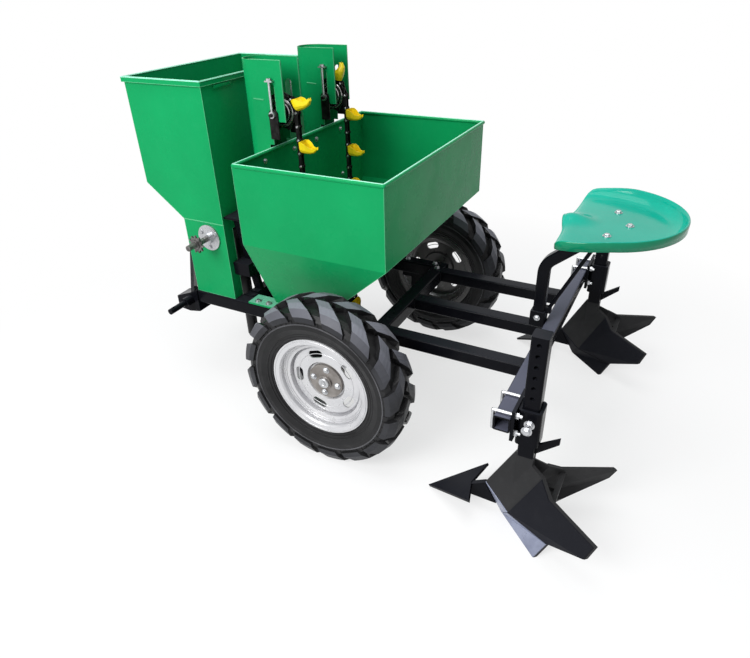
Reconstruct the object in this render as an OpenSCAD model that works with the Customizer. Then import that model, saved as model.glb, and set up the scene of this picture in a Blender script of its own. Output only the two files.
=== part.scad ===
// Mounted potato planter, two close rows on one ridge, with fertiliser hopper, ridgers and seat.
// Millimetres, +X forward, +Y left, +Z up, ground at z = 0. Places are measured from the wheel axle.

/* [Wheels] */
// Outer radius of the tyre over its lugs, also the height of the axle
tyre_r = 285; // [250:1:320]
// Width of the tyre section
tyre_w = 140; // [110:1:170]
// Distance of the wheel's middle plane from the machine's middle
wheel_y = 452; // [440:1:480]
// Height of the lugs over the tread
lug_h = 17; // [10:1:24]
// Number of lugs on each side of the tread
lug_n = 16; // [12:1:20]
// Width of a lug
lug_w = 21; // [14:1:28]
// Slant of the lugs to the wheel's middle plane
lug_slant = 48; // [35:1:60]
// Radius of the rim's bead seat
rim_seat_r = 152; // [140:1:165]
// Height of the rim flange over the bead seat
rim_flange_h = 19; // [14:1:24]
// Depth of the rim's well below the bead seat
rim_well_d = 20; // [14:1:26]
// Half of the rim's width over the flanges
rim_half_w = 53; // [46:1:58]
// Half of the width of the rim's well
rim_well_w = 22; // [16:1:28]
// Sheet thickness of rim and disc
rim_t = 4; // [3:0.5:6]
// Distance of the disc outward from the wheel's middle plane
disc_y = 4; // [0:1:12]
// How far the disc is pressed outward round its middle
disc_dish = 9; // [4:1:14]
// Number of windows in the disc
window_n = 5; // [4:1:8]
// Radius of the circle the windows lie on
window_pcr = 98; // [90:1:104]
// Radius of a window's round ends
window_r = 13; // [9:1:16]
// Length of a window between its end centres
window_l = 26; // [16:1:36]
// Radius of the hub flange
hub_flange_r = 60; // [50:1:70]
// Thickness of the hub flange
hub_flange_t = 10; // [6:1:14]
// Outer radius of the hub tube
hub_r = 28; // [24:1:34]
// Length of the hub tube inward from the disc
hub_l = 62; // [40:1:80]
// Radius of the axle
axle_r = 17.5; // [14:0.5:22]
// How far the axle end stands out of the hub flange
axle_out = 14; // [4:1:24]
// Wall of the axle bearing round the axle
bearing_t = 18; // [12:1:24]
// Length of the bearing's foot under the rail
bearing_l = 150; // [120:1:180]
// Thickness of the bearing's foot
bearing_foot = 16; // [10:1:22]
// Running clearance of the axle in its bearings
axle_fit = 0.06; // [0.03:0.01:0.1]

/* [Frame] */
// Rise of the rails' underside over the axle
rail_rise = 53; // [48:1:70]
// Side of the square frame tube
tube = 50; // [40:1:60]
// Radius of the frame tube's rounded edges
tube_edge = 6; // [3:0.5:8]
// Wall of the frame tube
tube_t = 5; // [3:0.5:8]
// Outer face of the side rails
rail_y = 301; // [285:1:315]
// Rear end of the side rails
rail_x0 = -105; // [-130:1:-80]
// Front end of the side rails
rail_x1 = 655; // [640:1:680]
// Rear edge of the middle cross beam
mid_beam_x = 428; // [424:1:440]
// Centre distance of the outer rear bars from the middle
bar_y = 243.5; // [225:0.5:260]
// Height of the rear bars
bar_h = 42; // [36:1:50]
// How far the rear bars lie below the rails' top
bar_sink = 2; // [0:1:6]
// Front face of the toolbar
tool_x = -563; // [-600:1:-520]
// Side of the square toolbar
tool_w = 46.5; // [40:0.5:56]
// Height of the toolbar's top over the rails
tool_rise = 12; // [4:1:20]
// Half the length of the toolbar
tool_half = 535; // [528:1:570]
// Gap between pieces that are bolted or laid together
seat_gap = 0.3; // [0.1:0.1:0.5]

/* [Hitch] */
// Length of the hitch bracket in front of the rail
hitch_l = 105; // [90:1:120]
// Width of the hitch bracket
hitch_w = 66; // [56:1:70]
// How far the bracket stands out past the rail
hitch_out = 6; // [2:1:10]
// Height of the hitch bracket
hitch_h = 96; // [85:1:105]
// How far the bracket's top falls toward the front
hitch_drop = 42; // [20:1:50]
// Distance of the lower-link pin in front of the rail
pin_dx = 37; // [30:1:60]
// Depth of the lower-link pin below the rails' top
pin_drop = 43; // [34:1:60]
// Radius of the lower-link pin
pin_r = 11; // [9:0.5:14]
// Radius of the pin's shoulder
shoulder_r = 18; // [15:1:22]
// Length of the pin's shoulder from the rail's outer face
shoulder_l = 40.5; // [30:0.5:50]
// Length of the pin outside its shoulder
pin_l = 74; // [60:1:90]
// Radius of the linch-pin hole
linch_r = 5.5; // [4:0.5:6.5]
// Distance of the linch-pin hole from the pin's end
linch_in = 16; // [12:1:22]
// Height of the top-link hole above the lower-link pins
mast_h = 460; // [440:1:480]
// Place of the top-link hole along the machine
mast_x = 852; // [846:1:880]
// Radius of the top-link hole
top_r = 9.65; // [9:0.05:13]
// Thickness of the mast's plates
mast_t = 12; // [8:1:16]
// Clear width between the top-link plates
mast_gap = 52; // [44:1:60]
// Length of the top-link plates below their hole
mast_plate = 90; // [70:1:110]
// Edge of the plates round the top-link hole
mast_edge = 28; // [22:1:36]
// Width of the mast's legs
leg_w = 50; // [40:1:60]
// Distance of the legs' feet in front of the rail
leg_dx = 30; // [20:1:44]
// Radius of the spacer bar between the plates
spacer_r = 11; // [8:1:14]

/* [Fertiliser hopper] */
// Rear wall of the fertiliser hopper
fert_x0 = 480; // [478:1:490]
// Front wall of the fertiliser hopper
fert_x1 = 797; // [780:1:806]
// Front edge of the legs under the hopper
fert_xb = 654; // [640:1:655]
// Half the hopper's width
fert_y = 295; // [280:1:300]
// Height of the hopper's top over the rails
fert_h = 736; // [690:1:770]
// Height over the rails where the front wall starts to slope
fert_crease_h = 392; // [370:1:410]
// Height over the rails where the slope meets the legs
fert_weld_h = 280; // [270:1:300]
// Height of the floor over the rails
fert_floor_h = 260; // [250:1:268]
// Sheet thickness of both hoppers
sheet = 3; // [2:0.5:4]
// Height of the folded rim
fold_h = 14; // [10:1:20]
// How far the folded rim stands out
fold_out = 7; // [4:1:10]
// Width of the folded edges of the legs under the hopper
leg_fold = 42; // [36:1:50]

/* [Fertiliser feed] */
// Place of the feed shaft along the machine
feed_x = 550; // [540:1:565]
// Depth of the feed shaft below the hopper's floor
feed_drop = 33; // [28:1:40]
// Radius of the feed shaft
feed_r = 10; // [8:0.5:12]
// Running clearance of the shaft in its bearings
feed_fit = 0.05; // [0.03:0.01:0.1]
// Clearance of the shaft in walls and housings
feed_clear = 5; // [5:0.5:8]
// Radius of the flange bearing
flange_r = 46; // [40:1:52]
// Thickness of the flange
flange_t = 6; // [4:1:9]
// Radius of the bearing's neck
neck_r = 20; // [16:1:24]
// Length of the bearing's neck
neck_l = 14; // [10:1:20]
// Length of the shaft outside the left hopper wall
feed_out = 109; // [95:1:120]
// Distance of the feed sprocket from the hopper wall
feed_spr_dy = 67; // [58:1:76]
// Radius over the feed sprocket's teeth
feed_spr_r = 31; // [26:1:36]
// Depth of the sprocket's teeth
feed_tooth = 7; // [5:0.5:9]
// Thickness of the feed sprocket
feed_spr_t = 7; // [5:0.5:9]
// Number of teeth on the feed sprocket
feed_teeth = 11; // [9:1:14]
// Length and width of a feed housing
house = [84, 68]; // [50:1:110]
// Depth of a feed housing below the shaft
house_d = 45; // [36:1:56]
// Radius of the drop tube
drop_r = 21; // [17:1:25]
// Wall of the drop tube
drop_t = 3; // [2:0.5:4]
// Height of the lower end of the drop tube
drop_z = 150; // [110:1:190]

/* [Potato hopper] */
// Rear wall of the potato hopper
pot_x0 = -182; // [-210:1:-160]
// Front wall of the potato hopper
pot_x1 = 320; // [316:1:324]
// Half the hopper's width
pot_y = 390; // [375:1:405]
// Height of the rim over the rails
pot_h = 527; // [500:1:545]
// Height over the rails where the walls start to slope
pot_crease_h = 277; // [255:1:297]
// Rear edge of the bottom
pot_xb = 112; // [90:1:130]
// Half the width of the bottom
pot_yb = 264; // [256:1:280]
// Radius of the rolled rim
rim_roll = 6; // [4:0.5:8]
// Thickness of the feet
foot_t = 7; // [5:0.5:9]
// Length of the feet behind the hopper's front wall
foot_l = 90; // [70:1:110]
// Clearance round the cups where they pass the hopper's bottom
chain_clear = 14; // [10:1:18]

/* [Seed elevators] */
// Distance of each row from the middle
row_y = 149; // [142:1:156]
// Width of a seed column
col_w = 93; // [90:1:99]
// Height of a column's top over the rails
col_h = 789; // [760:1:810]
// Rear edge of a column's head
col_x0 = 251; // [240:1:260]
// Front of a column
col_x1 = 413; // [411:1:418]
// Depth of a column's lower end below the rails' top
col_drop = 88; // [70:1:100]
// Length of the strip behind the slot from the column's top
strip_l = 175; // [150:1:190]
// Depth of the slot's upper end below the column's top
slot_drop = 63; // [50:1:75]
// Half width of the adjusting slot
slot_r = 11.5; // [10:0.5:13]
// Clearance of the column over the hopper's rim
notch = 9; // [7:1:16]
// Place of the sprockets along the machine
spr_x = 292; // [290:1:297]
// Height of the top sprockets over the rails
spr_h = 635; // [620:1:650]
// Pitch of the roller chain
chain_pitch = 41.4; // [38:0.1:44]
// Number of teeth on the chain sprockets, an even number
spr_teeth = 8; // [6:2:10]
// Whole links on each straight run, which has half a link more
run_links = 18; // [16:1:20]
// Half the depth of the chain's plates
link_r = 8; // [6:0.5:9]
// Depth of a link's waist
link_waist = 10; // [7:0.5:13]
// Thickness of the chain's plates
link_t = 3; // [2:0.5:4]
// Inner width of the chain
chain_in = 12; // [10:0.5:14]
// Radius of the chain's rollers
roller_r = 6; // [4:0.5:7]
// Thickness of the sprockets
spr_t = 8; // [6:0.5:9]
// Radius of the sprockets' hubs
spr_hub = 24; // [18:1:28]
// Length of the sprockets' hubs
spr_hub_l = 44; // [36:1:60]
// Radius of the sprocket shafts
spr_shaft = 10; // [8:0.5:10]
// Radius of the top shafts' ends
spr_end = 5.5; // [4:0.5:7]
// Links from one cup to the next
cup_links = 3; // [2:1:5]
// Reach of a cup from the chain's plates to the tip of its spout
cup_reach = 54; // [50:1:55]
// Radius of a cup's mouth
cup_r = 18; // [16:1:20]
// Radius of a cup's bottom
cup_bot = 11; // [8:1:14]
// Height of a cup
cup_h = 38; // [30:1:44]
// Radius of the spout where it leaves the bowl
spout_r = 14; // [10:0.5:16]
// Wall of a cup
cup_t = 2.5; // [2:0.5:3]
// Thickness of the cup's back plate
cup_back = 3; // [2:0.5:4]
// Radius of the tensioner's eye
eye_r = 10; // [8:0.5:12]
// Thickness of the eye
eye_t = 8; // [7.5:0.5:10]
// Radius of the tensioner's rod
eye_rod = 3.5; // [2.5:0.5:4.5]
// Width of the lug that holds the rod
lug_plate = 26; // [20:1:34]
// Thickness of the slide block behind the eye
slide_t = 5; // [4:0.5:7]
// Length of the slide block below the shaft
slide_l = 74; // [60:1:86]
// Height of the lower stay over the rails
stay_h = 92; // [80:1:110]
// Depth of the lower stay
stay_d = 46; // [36:1:56]
// Height of the upper stay over the rails
strip_h = 302; // [285:1:315]
// Thickness of the upper stay and of the stays' feet
strip_t = 7; // [5:0.5:9]
// Width of the slanting stays
slant_w = 30; // [22:1:38]
// Thickness of the slanting stays
slant_t = 16; // [10:1:20]

/* [Furrow openers] */
// Thickness of the side plates
open_t = 6; // [4:1:8]
// Length of the opener in front of the column
open_nose = 127; // [110:1:145]
// Depth of the plates' top below the rails' top
open_drop = 60; // [54:1:70]
// How far the plates reach behind the lower shaft
open_back = 29; // [24:1:36]
// Length of the heel behind the lower shaft
heel_l = 59; // [50:1:70]
// Height of the heel
heel_h = 130; // [110:1:150]
// Height of the plates' lower edge above the ground
open_foot = 10; // [6:1:20]
// Height where the nose starts to slope forward
open_slope = 250; // [220:1:280]
// Half the thickness of the nose at its tip
open_tip_t = 3; // [2:0.5:5]

/* [Ridgers] */
// Distance of each ridger from the middle
ridge_y = 477.5; // [470:0.5:482]
// Width of the square shank
shank_w = 45; // [40:1:50]
// Height of the shank's top over the toolbar
shank_h = 237; // [210:1:260]
// Number of holes in the shank
hole_n = 6; // [4:1:7]
// Pitch of the holes
hole_pitch = 32; // [28:1:34]
// Distance of the first hole from the shank's top
hole_top = 22; // [18:1:30]
// Radius of the holes
hole_r = 6; // [4:0.5:8]
// Wall of the sleeve
sleeve_t = 9; // [7:1:10]
// How far the sleeve stands over the toolbar
sleeve_up = 18; // [12:1:26]
// Length of the sleeve
sleeve_l = 113; // [100:1:130]
// How far the shank's tapered tab reaches behind the sleeve
sleeve_tab = 50; // [40:1:60]
// Thickness of the clamp plate
clamp_t = 8; // [6:1:10]
// Half the width of the clamp plate
clamp_y = 56; // [54:1:60]
// How far the clamp plate stands over and under the toolbar
clamp_up = 24; // [20:1:30]
// Radius of the U-bolts
ubolt_r = 5; // [4:0.5:5.5]
// Radius of the U-bolts' nuts
nut_r = 9; // [8:0.5:10]
// Height of the U-bolts' nuts
nut_h = 8; // [6:0.5:10]
// Height of the body's top
ridge_top = 258; // [250:1:268]
// Front edge of the body
nose_x = -544; // [-556:1:-530]
// Length of the body from its front edge to the tips of its wings
wing_l = 328; // [310:1:345]
// Distance of the wings' tips from the ridger's middle
wing_y = 162; // [150:1:172]
// Thickness of the body's plates
wing_t = 7; // [5:0.5:9]
// Thickness of the stay between the wings
wing_stay = 14; // [10:1:18]
// Length of the point in front of the body
point_l = 180; // [165:1:190]
// Half the width of the point
point_y = 85; // [75:1:95]
// Thickness of the point
point_t = 8; // [6:0.5:10]
// Height of the point's rear edge
point_h = 104; // [90:1:115]

/* [Seat] */
// Front edge of the seat
seat_x1 = -592; // [-600:1:-584]
// Outer radius of the seat pan
pan_r = 240; // [225:1:250]
// Middle of the pan's round rear
pan_x = -668; // [-676:1:-660]
// Height of the pan's floor over the rails
pan_up = 364; // [350:1:378]
// Radius of the pan's curve from floor to edge
pan_curve = 52; // [44:1:58]
// Radius of the rolled edge
pan_roll = 5; // [4:0.5:7]
// Sheet thickness of the pan
pan_t = 3; // [2:0.5:4]
// Radius of the pressed hump at the front
hump_r = 72; // [60:1:85]
// Height of the hump
hump_h = 15; // [11:1:20]
// Width of the seat arm
arm_w = 36; // [30:1:44]
// Thickness of the seat arm
arm_t = 34; // [28:1:40]
// Inner radius of the arm's bend
arm_bend = 60; // [45:1:75]
// Front face of the upright arm
arm_x = -522; // [-530:1:-514]
// Length of the arm behind the pan's middle
arm_l = 60; // [40:1:80]
// Thickness of the arm's foot
arm_foot = 10; // [8:1:14]
// Radius of the brace
brace_r = 6; // [5:0.5:8]
// Height of the brace's lower end over the rear bars
brace_h = 56; // [45:1:70]
// Side of the blocks at the brace's ends
brace_end = 20; // [16:1:24]

/* [Hidden] */
axle_z = tyre_r;
rim_flange_r = rim_seat_r + rim_flange_h;
rim_well_r = rim_seat_r - rim_well_d;
tread_r = tyre_r - lug_h;
side_r = rim_flange_r + 0.42 * (tread_r - rim_flange_r);
rail_bot = axle_z + rail_rise;
rail_top = rail_bot + tube;
rail_in = rail_y - tube;
bar_top = rail_top - bar_sink;
tool_top = rail_top + tool_rise;
tool_bot = tool_top - tool_w;
tool_x0 = tool_x - tool_w;
pin_x = rail_x1 + pin_dx;
pin_z = rail_top - pin_drop;
shoulder_y = rail_y + shoulder_l;
mast_z = pin_z + mast_h;
fert_top = rail_top + fert_h;
fert_crease = rail_top + fert_crease_h;
fert_weld = rail_top + fert_weld_h;
fert_floor = rail_top + fert_floor_h;
feed_z = fert_floor - feed_drop;
feed_spr_y = fert_y + feed_spr_dy;
pot_top = rail_top + pot_h;
pot_crease = rail_top + pot_crease_h;
pot_bot = rail_top + foot_t + seat_gap;
wall_x = pot_x1 + seat_gap;
col_half = col_w / 2;
col_top = rail_top + col_h;
col_bot = rail_top - col_drop;
col_mid = col_x1 - col_half;
spr_top = rail_top + spr_h;
spr_r = chain_pitch / 2 / sin(180 / spr_teeth);
spr_low = spr_top - (run_links + 0.5) * chain_pitch;
chain_out = chain_in / 2 + link_t;
cup_x = link_r + cup_back;
cup_end = link_r + cup_reach;
slide_y = col_half + seat_gap;
eye_y = slide_y + slide_t + seat_gap;
stay_x = (col_x1 + fert_x0) / 2;
open_y = col_half + seat_gap;
open_tip = col_x1 + open_nose;
sleeve_h = shank_w / 2 + seat_gap + sleeve_t;
shank_x = tool_x0 - seat_gap - clamp_t - sleeve_h;
shank_top = tool_top + shank_h;
sleeve_z1 = tool_top + sleeve_up;
sleeve_z0 = sleeve_z1 - sleeve_l;
clamp_lap = 1;
ubolt_y = sleeve_h + seat_gap + nut_r;
wing_x = nose_x - wing_l;
pan_z = rail_top + pan_up;
pan_lean = 15;
pan_flat = pan_r - pan_roll - (pan_curve - pan_t / 2) * cos(pan_lean);
seat_x0 = pan_x - pan_r;
x_front = mast_x + leg_w / 2 + 5;
mid_x = (x_front + seat_x0) / 2;
far = 2 * tyre_r;
green = [0.05, 0.45, 0.22];
dark = [0.06, 0.06, 0.08];
zinc = [0.75, 0.76, 0.78];
$fn = 64;

// Moves the machine so that its middle lies over the origin.
module place() translate([-mid_x, 0, 0]) children();

// Draws a left piece as it is and a right piece as its mirror image.
module hand(s) {
    if (s > 0) children();
    else mirror([0, 1, 0]) children();
}

// Draws a piece on the left and its mirror image on the right.
module both() {
    children();
    mirror([0, 1, 0]) children();
}

// A round bar along Y from y0 to y1.
module ybar(x, z, r, y0, y1) translate([x, y0, z]) rotate([-90, 0, 0]) cylinder(h = y1 - y0, r = r);

// A box between two corners.
module box(a, b) translate(a) cube(b - a);

// A flat outline in X and Z, given a width along Y from y0 to y1.
module slab(y0, y1) translate([0, y1, 0]) rotate([90, 0, 0]) linear_extrude(height = y1 - y0) children();

// A section with rounded edges, w by h, about its middle.
module rounded(w, h, r) {
    square([w - 2 * r, h], center = true);
    square([w, h - 2 * r], center = true);
    for (x = [r - w / 2, w / 2 - r], y = [r - h / 2, h / 2 - r]) translate([x, y]) circle(r = r);
}

// A tube with rounded edges between two corners, along X or along Y, of wall t or solid if t is 0.
module xtube(a, b, t) translate((a + b) / 2) rotate([90, 0, 90])
    translate([0, 0, (a[0] - b[0]) / 2]) linear_extrude(height = b[0] - a[0]) difference() {
        rounded(b[1] - a[1], b[2] - a[2], tube_edge);
        if (t > 0) rounded(b[1] - a[1] - 2 * t, b[2] - a[2] - 2 * t, tube_edge / 2);
    }
module ytube(a, b, t) rotate([0, 0, 90]) xtube([a[1], -b[0], a[2]], [b[1], -a[0], b[2]], t);

// A bar of section w by t between two points.
module bar(p, q, w, t) {
    d = q - p;
    translate(p) rotate([0, acos(d[2] / norm(d)), atan2(d[1], d[0])])
        translate([-w / 2, -t / 2, 0]) cube([w, t, norm(d)]);
}

// A round rod between two points.
module rod(p, q, r) {
    d = q - p;
    translate(p) rotate([0, acos(d[2] / norm(d)), atan2(d[1], d[0])]) cylinder(h = norm(d), r = r);
}

// Frame

module side_rail(s) color(dark) place() hand(s)
    xtube([rail_x0, rail_in, rail_bot], [rail_x1, rail_y, rail_top], tube_t);
module side_rail_left() side_rail(1);
module side_rail_right() side_rail(-1);

// columns: rear edge along X
beam_rows = [[rail_x0], [mid_beam_x], [rail_x1 - tube]];
module cross_beams() color(dark) place() for (b = beam_rows)
    ytube([b[0], -rail_in + seat_gap, rail_bot], [b[0] + tube, rail_in - seat_gap, rail_top], 0);

// The bracket's outline, from its upper rear corner downward and round to the front.
module hitch_bracket(s) color(dark) place() hand(s) difference() {
    union() {
        slab(rail_y + hitch_out - hitch_w, rail_y + hitch_out) polygon([[rail_x1 + seat_gap, rail_top],
            [rail_x1 + seat_gap, rail_top - 0.9 * hitch_h], [rail_x1 + hitch_l / 2, rail_top - hitch_h],
            [rail_x1 + hitch_l, rail_top - 0.95 * hitch_h], [rail_x1 + hitch_l, rail_top - hitch_drop]]);
        ybar(pin_x, pin_z, shoulder_r, rail_y, shoulder_y);
        ybar(pin_x, pin_z, pin_r, rail_y, shoulder_y + pin_l);
    }
    translate([pin_x, shoulder_y + pin_l - linch_in, pin_z - 2 * pin_r])
        cylinder(h = 4 * pin_r, r = linch_r);
}
module hitch_bracket_left() hitch_bracket(1);
module hitch_bracket_right() hitch_bracket(-1);

// Two flat legs lean together from the hitch brackets to the pair of plates for the top link.
module mast() color(dark) place() difference() {
    union() {
        both() {
            bar([rail_x1 + leg_dx, rail_y - hitch_out, pin_z], [mast_x - mast_t, (mast_gap + mast_t) / 2,
                mast_z - mast_edge], leg_w, mast_t);
            slab(mast_gap / 2, mast_gap / 2 + mast_t) polygon([[mast_x - mast_edge, mast_z - mast_plate],
                [mast_x + mast_edge / 2, mast_z - mast_plate], [x_front, mast_z],
                [mast_x + mast_edge / 2, mast_z + mast_edge],
                [mast_x - 0.8 * mast_edge, mast_z + mast_edge]]);
        }
        ybar(mast_x - spacer_r, mast_z - mast_plate + 1.5 * spacer_r, spacer_r,
            -mast_gap / 2 - 1, mast_gap / 2 + 1);
    }
    ybar(mast_x, mast_z, top_r, -mast_gap, mast_gap);
    slab(-far, far) polygon([[rail_x1 - tube, rail_top + seat_gap], [rail_x1, rail_top + seat_gap],
        [rail_x1 + hitch_l, rail_top - hitch_drop + seat_gap], [rail_x1 + hitch_l, rail_bot - tube],
        [rail_x1 - tube, rail_bot - tube]]);
}

// columns: centre across the machine
bar_rows = [[-bar_y], [0], [bar_y]];
module rear_bars() color(dark) place() for (b = bar_rows)
    xtube([tool_x + seat_gap, b[0] - tube / 2, bar_top - bar_h],
        [rail_x0 - seat_gap, b[0] + tube / 2, bar_top], 0);

module toolbar() color(dark) place()
    ytube([tool_x0, -tool_half, tool_bot], [tool_x, tool_half, tool_top], tube_t);

// Running gear

module axle() color(zinc) place() {
    end = wheel_y + disc_y + hub_flange_t + axle_out;
    ybar(0, axle_z, axle_r, -end, end);
}

module axle_bearings() color(dark) place() both() difference() {
    slab(rail_in + tube_t, rail_y - tube_t) {
        translate([0, axle_z]) circle(r = axle_r + bearing_t);
        translate([-axle_r - bearing_t, axle_z])
            square([2 * (axle_r + bearing_t), rail_bot - seat_gap - axle_z]);
        translate([-bearing_l / 2, rail_bot - bearing_foot])
            square([bearing_l, bearing_foot - seat_gap]);
    }
    ybar(0, axle_z, axle_r + axle_fit, 0, 2 * rail_y);
}

module hub(s) color(dark) place() hand(s) difference() {
    face = wheel_y + disc_y;
    union() {
        ybar(0, axle_z, hub_flange_r, face + seat_gap, face + hub_flange_t);
        ybar(0, axle_z, hub_r, face - hub_l, face + hub_flange_t);
        ybar(0, axle_z, (hub_r + axle_r) / 2, face, face + hub_flange_t + axle_out / 2);
    }
    ybar(0, axle_z, axle_r + seat_gap, 0, 2 * wheel_y);
}
module hub_left() hub(1);
module hub_right() hub(-1);

// One half of the rim's outline at radius offset t, from the well's middle outward to the bead seat.
function rim_half(t, f) = [[rim_well_r - t, f * (rim_well_w + t / 2)],
    [rim_seat_r - t, f * (rim_well_w + t / 2 + 0.4 * rim_well_d)],
    [rim_seat_r - t, f * (rim_half_w - 2 * rim_t)]];

module rim(s) color(zinc) place() hand(s) translate([0, wheel_y, axle_z]) rotate([-90, 0, 0]) {
    rotate_extrude($fn = 96) difference() {
        polygon([[rim_well_r - rim_t, -rim_half_w], [rim_flange_r, -rim_half_w], [rim_flange_r, rim_half_w],
            [rim_well_r - rim_t, rim_half_w]]);
        for (f = [1, -1]) polygon(concat(rim_half(rim_t, f), [[rim_seat_r, f * (rim_half_w - rim_t / 2)],
            [rim_flange_r - rim_t / 2, f * (rim_half_w + 1)], [0, f * (rim_half_w + 1)],
            [0, f * (rim_well_w + rim_t / 2)]]));
        polygon(concat(rim_half(0, 1), [[rim_flange_r - rim_t / 2, rim_half_w - rim_t],
            [rim_flange_r + 1, rim_half_w - rim_t], [rim_flange_r + 1, rim_t - rim_half_w],
            [rim_flange_r - rim_t / 2, rim_t - rim_half_w]], [for (i = [2:-1:0]) rim_half(0, -1)[i]]));
    }
    difference() {
        rotate_extrude($fn = 96) polygon([[hub_r + seat_gap, disc_y], [hub_flange_r + rim_t, disc_y],
            [hub_flange_r + disc_dish, disc_y + disc_dish], [rim_well_r - 3 * rim_t, disc_y + disc_dish],
            [rim_well_r - rim_t / 2, disc_y], [rim_well_r - rim_t / 2, disc_y - rim_t],
            [rim_well_r - 3 * rim_t - 1, disc_y + disc_dish - rim_t],
            [hub_flange_r + disc_dish + 1, disc_y + disc_dish - rim_t],
            [hub_flange_r + rim_t + 1, disc_y - rim_t], [hub_r + seat_gap, disc_y - rim_t]]);
        for (i = [0:window_n - 1]) rotate([0, 0, i * 360 / window_n])
            translate([window_pcr, 0, -rim_half_w]) linear_extrude(height = 2 * rim_half_w) {
                for (e = [-1, 1]) translate([0, e * window_l / 2]) circle(r = window_r, $fn = 32);
                translate([-window_r, -window_l / 2]) square([2 * window_r, window_l]);
            }
    }
}
module rim_left() rim(1);
module rim_right() rim(-1);

// Half of the tyre's outer outline with the tread at radius r, from the bead outward.
function tyre_half(r, w, f) = [[rim_flange_r + rim_t, f * rim_half_w], [side_r, f * w / 2],
    [r - 0.4 * (r - side_r), f * (w / 2 - 1)], [r - 0.1 * (r - side_r), f * 0.41 * w], [r, f * 0.24 * w]];
function turned(p) = [for (i = [len(p) - 1:-1:0]) p[i]];

module tyre_bead() polygon([
    [rim_well_r + seat_gap, -rim_well_w + 1], [rim_well_r + seat_gap, rim_well_w - 1],
    [rim_seat_r + seat_gap, rim_well_w + 0.4 * rim_well_d], [rim_seat_r + seat_gap, rim_half_w - 2 * rim_t],
    [rim_flange_r - rim_t / 2, rim_half_w - rim_t - seat_gap], [rim_flange_r + seat_gap, rim_half_w - rim_t],
    [rim_flange_r + rim_t, rim_half_w], [rim_flange_r + rim_t, -rim_half_w],
    [rim_flange_r + seat_gap, -rim_half_w + rim_t],
    [rim_flange_r - rim_t / 2, -rim_half_w + rim_t + seat_gap],
    [rim_seat_r + seat_gap, -rim_half_w + 2 * rim_t],
    [rim_seat_r + seat_gap, -rim_well_w - 0.4 * rim_well_d]]);

// The carcass is turned, and each lug is a slanting bar cut to the turned outline of the lugs' tops.
module tyre(s) color([0.03, 0.03, 0.03]) place() hand(s)
translate([0, wheel_y, axle_z]) rotate([-90, 0, 0]) {
    carcass_w = tyre_w - lug_h / 2;
    rotate_extrude($fn = 96) {
        tyre_bead();
        polygon(concat(tyre_half(tread_r, carcass_w, -1), turned(tyre_half(tread_r, carcass_w, 1))));
    }
    intersection() {
        rotate_extrude($fn = 96) polygon(concat(
            [for (p = tyre_half(tyre_r, tyre_w, -1)) if (p[0] > side_r) p],
            turned([for (p = tyre_half(tyre_r, tyre_w, 1)) if (p[0] > side_r) p]),
            [[side_r + lug_h, tyre_w / 2 - lug_h], [side_r + lug_h, lug_h - tyre_w / 2]]));
        for (f = [0, 1], i = [0:lug_n - 1]) rotate([0, 0, (i + f / 2) * 360 / lug_n]) mirror([0, 0, f])
            translate([side_r, 0, 0]) rotate([lug_slant, 0, 0]) translate([0, -lug_w / 2, -lug_w / 4])
            cube([tyre_r - side_r + lug_h, lug_w, tyre_w]);
    }
}
module tyre_left() tyre(1);
module tyre_right() tyre(-1);

// Fertiliser hopper and its feed

// A folded box with a floor. Under the floor only the two side walls go on, as legs with folded edges.
module fertiliser_hopper() color(green) place() difference() {
    union() {
        slab(-fert_y, fert_y) polygon([[fert_x0, fert_top], [fert_x1, fert_top], [fert_x1, fert_crease],
            [fert_xb, fert_weld], [fert_xb, rail_top + seat_gap], [fert_x0, rail_top + seat_gap]]);
        box([fert_x0 - fold_out, -fert_y - fold_out, fert_top - fold_h],
            [fert_x1 + fold_out, fert_y + fold_out, fert_top]);
    }
    slab(-fert_y + sheet, fert_y - sheet) polygon([[fert_x0 + sheet, fert_top + fold_h],
        [fert_x1 - sheet, fert_top + fold_h], [fert_x1 - sheet, fert_crease + sheet / 2],
        [fert_xb - sheet, fert_weld + sheet / 2], [fert_xb - sheet, fert_floor],
        [fert_x0 + sheet, fert_floor]]);
    box([fert_x0 + sheet, -fert_y + sheet, rail_bot],
        [fert_xb - sheet, fert_y - sheet, fert_floor - sheet]);
    box([fert_x0 - sheet, -fert_y + leg_fold, rail_bot],
        [fert_xb + sheet, fert_y - leg_fold, fert_floor - sheet]);
    ybar(feed_x, feed_z, feed_r + feed_clear, -2 * fert_y, 2 * fert_y);
}

module feed_bearings() color(zinc) place() both() difference() {
    union() {
        ybar(feed_x, feed_z, flange_r, fert_y + seat_gap, fert_y + flange_t);
        ybar(feed_x, feed_z, neck_r, fert_y + seat_gap, fert_y + flange_t + neck_l);
    }
    ybar(feed_x, feed_z, feed_r + feed_fit, 0, 2 * fert_y);
}

module feed_shaft() color(zinc) place()
    ybar(feed_x, feed_z, feed_r, -fert_y - flange_t - 1.5 * neck_l, fert_y + feed_out);

module feed_sprocket() color(zinc) place() difference() {
    union() {
        slab(feed_spr_y - feed_spr_t / 2, feed_spr_y + feed_spr_t / 2) translate([feed_x, feed_z]) {
            circle(r = feed_spr_r - feed_tooth);
            for (i = [0:feed_teeth - 1]) rotate(i * 360 / feed_teeth)
                polygon([[-0.7 * feed_tooth, feed_spr_r - 1.7 * feed_tooth],
                    [0.7 * feed_tooth, feed_spr_r - 1.7 * feed_tooth], [0.3 * feed_tooth, feed_spr_r],
                    [-0.3 * feed_tooth, feed_spr_r]]);
        }
        ybar(feed_x, feed_z, 1.6 * feed_r, feed_spr_y - 1.7 * feed_spr_t, feed_spr_y + 1.2 * feed_spr_t);
    }
    ybar(feed_x, feed_z, feed_r + feed_fit / 2, 0, 2 * fert_y);
}

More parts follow.
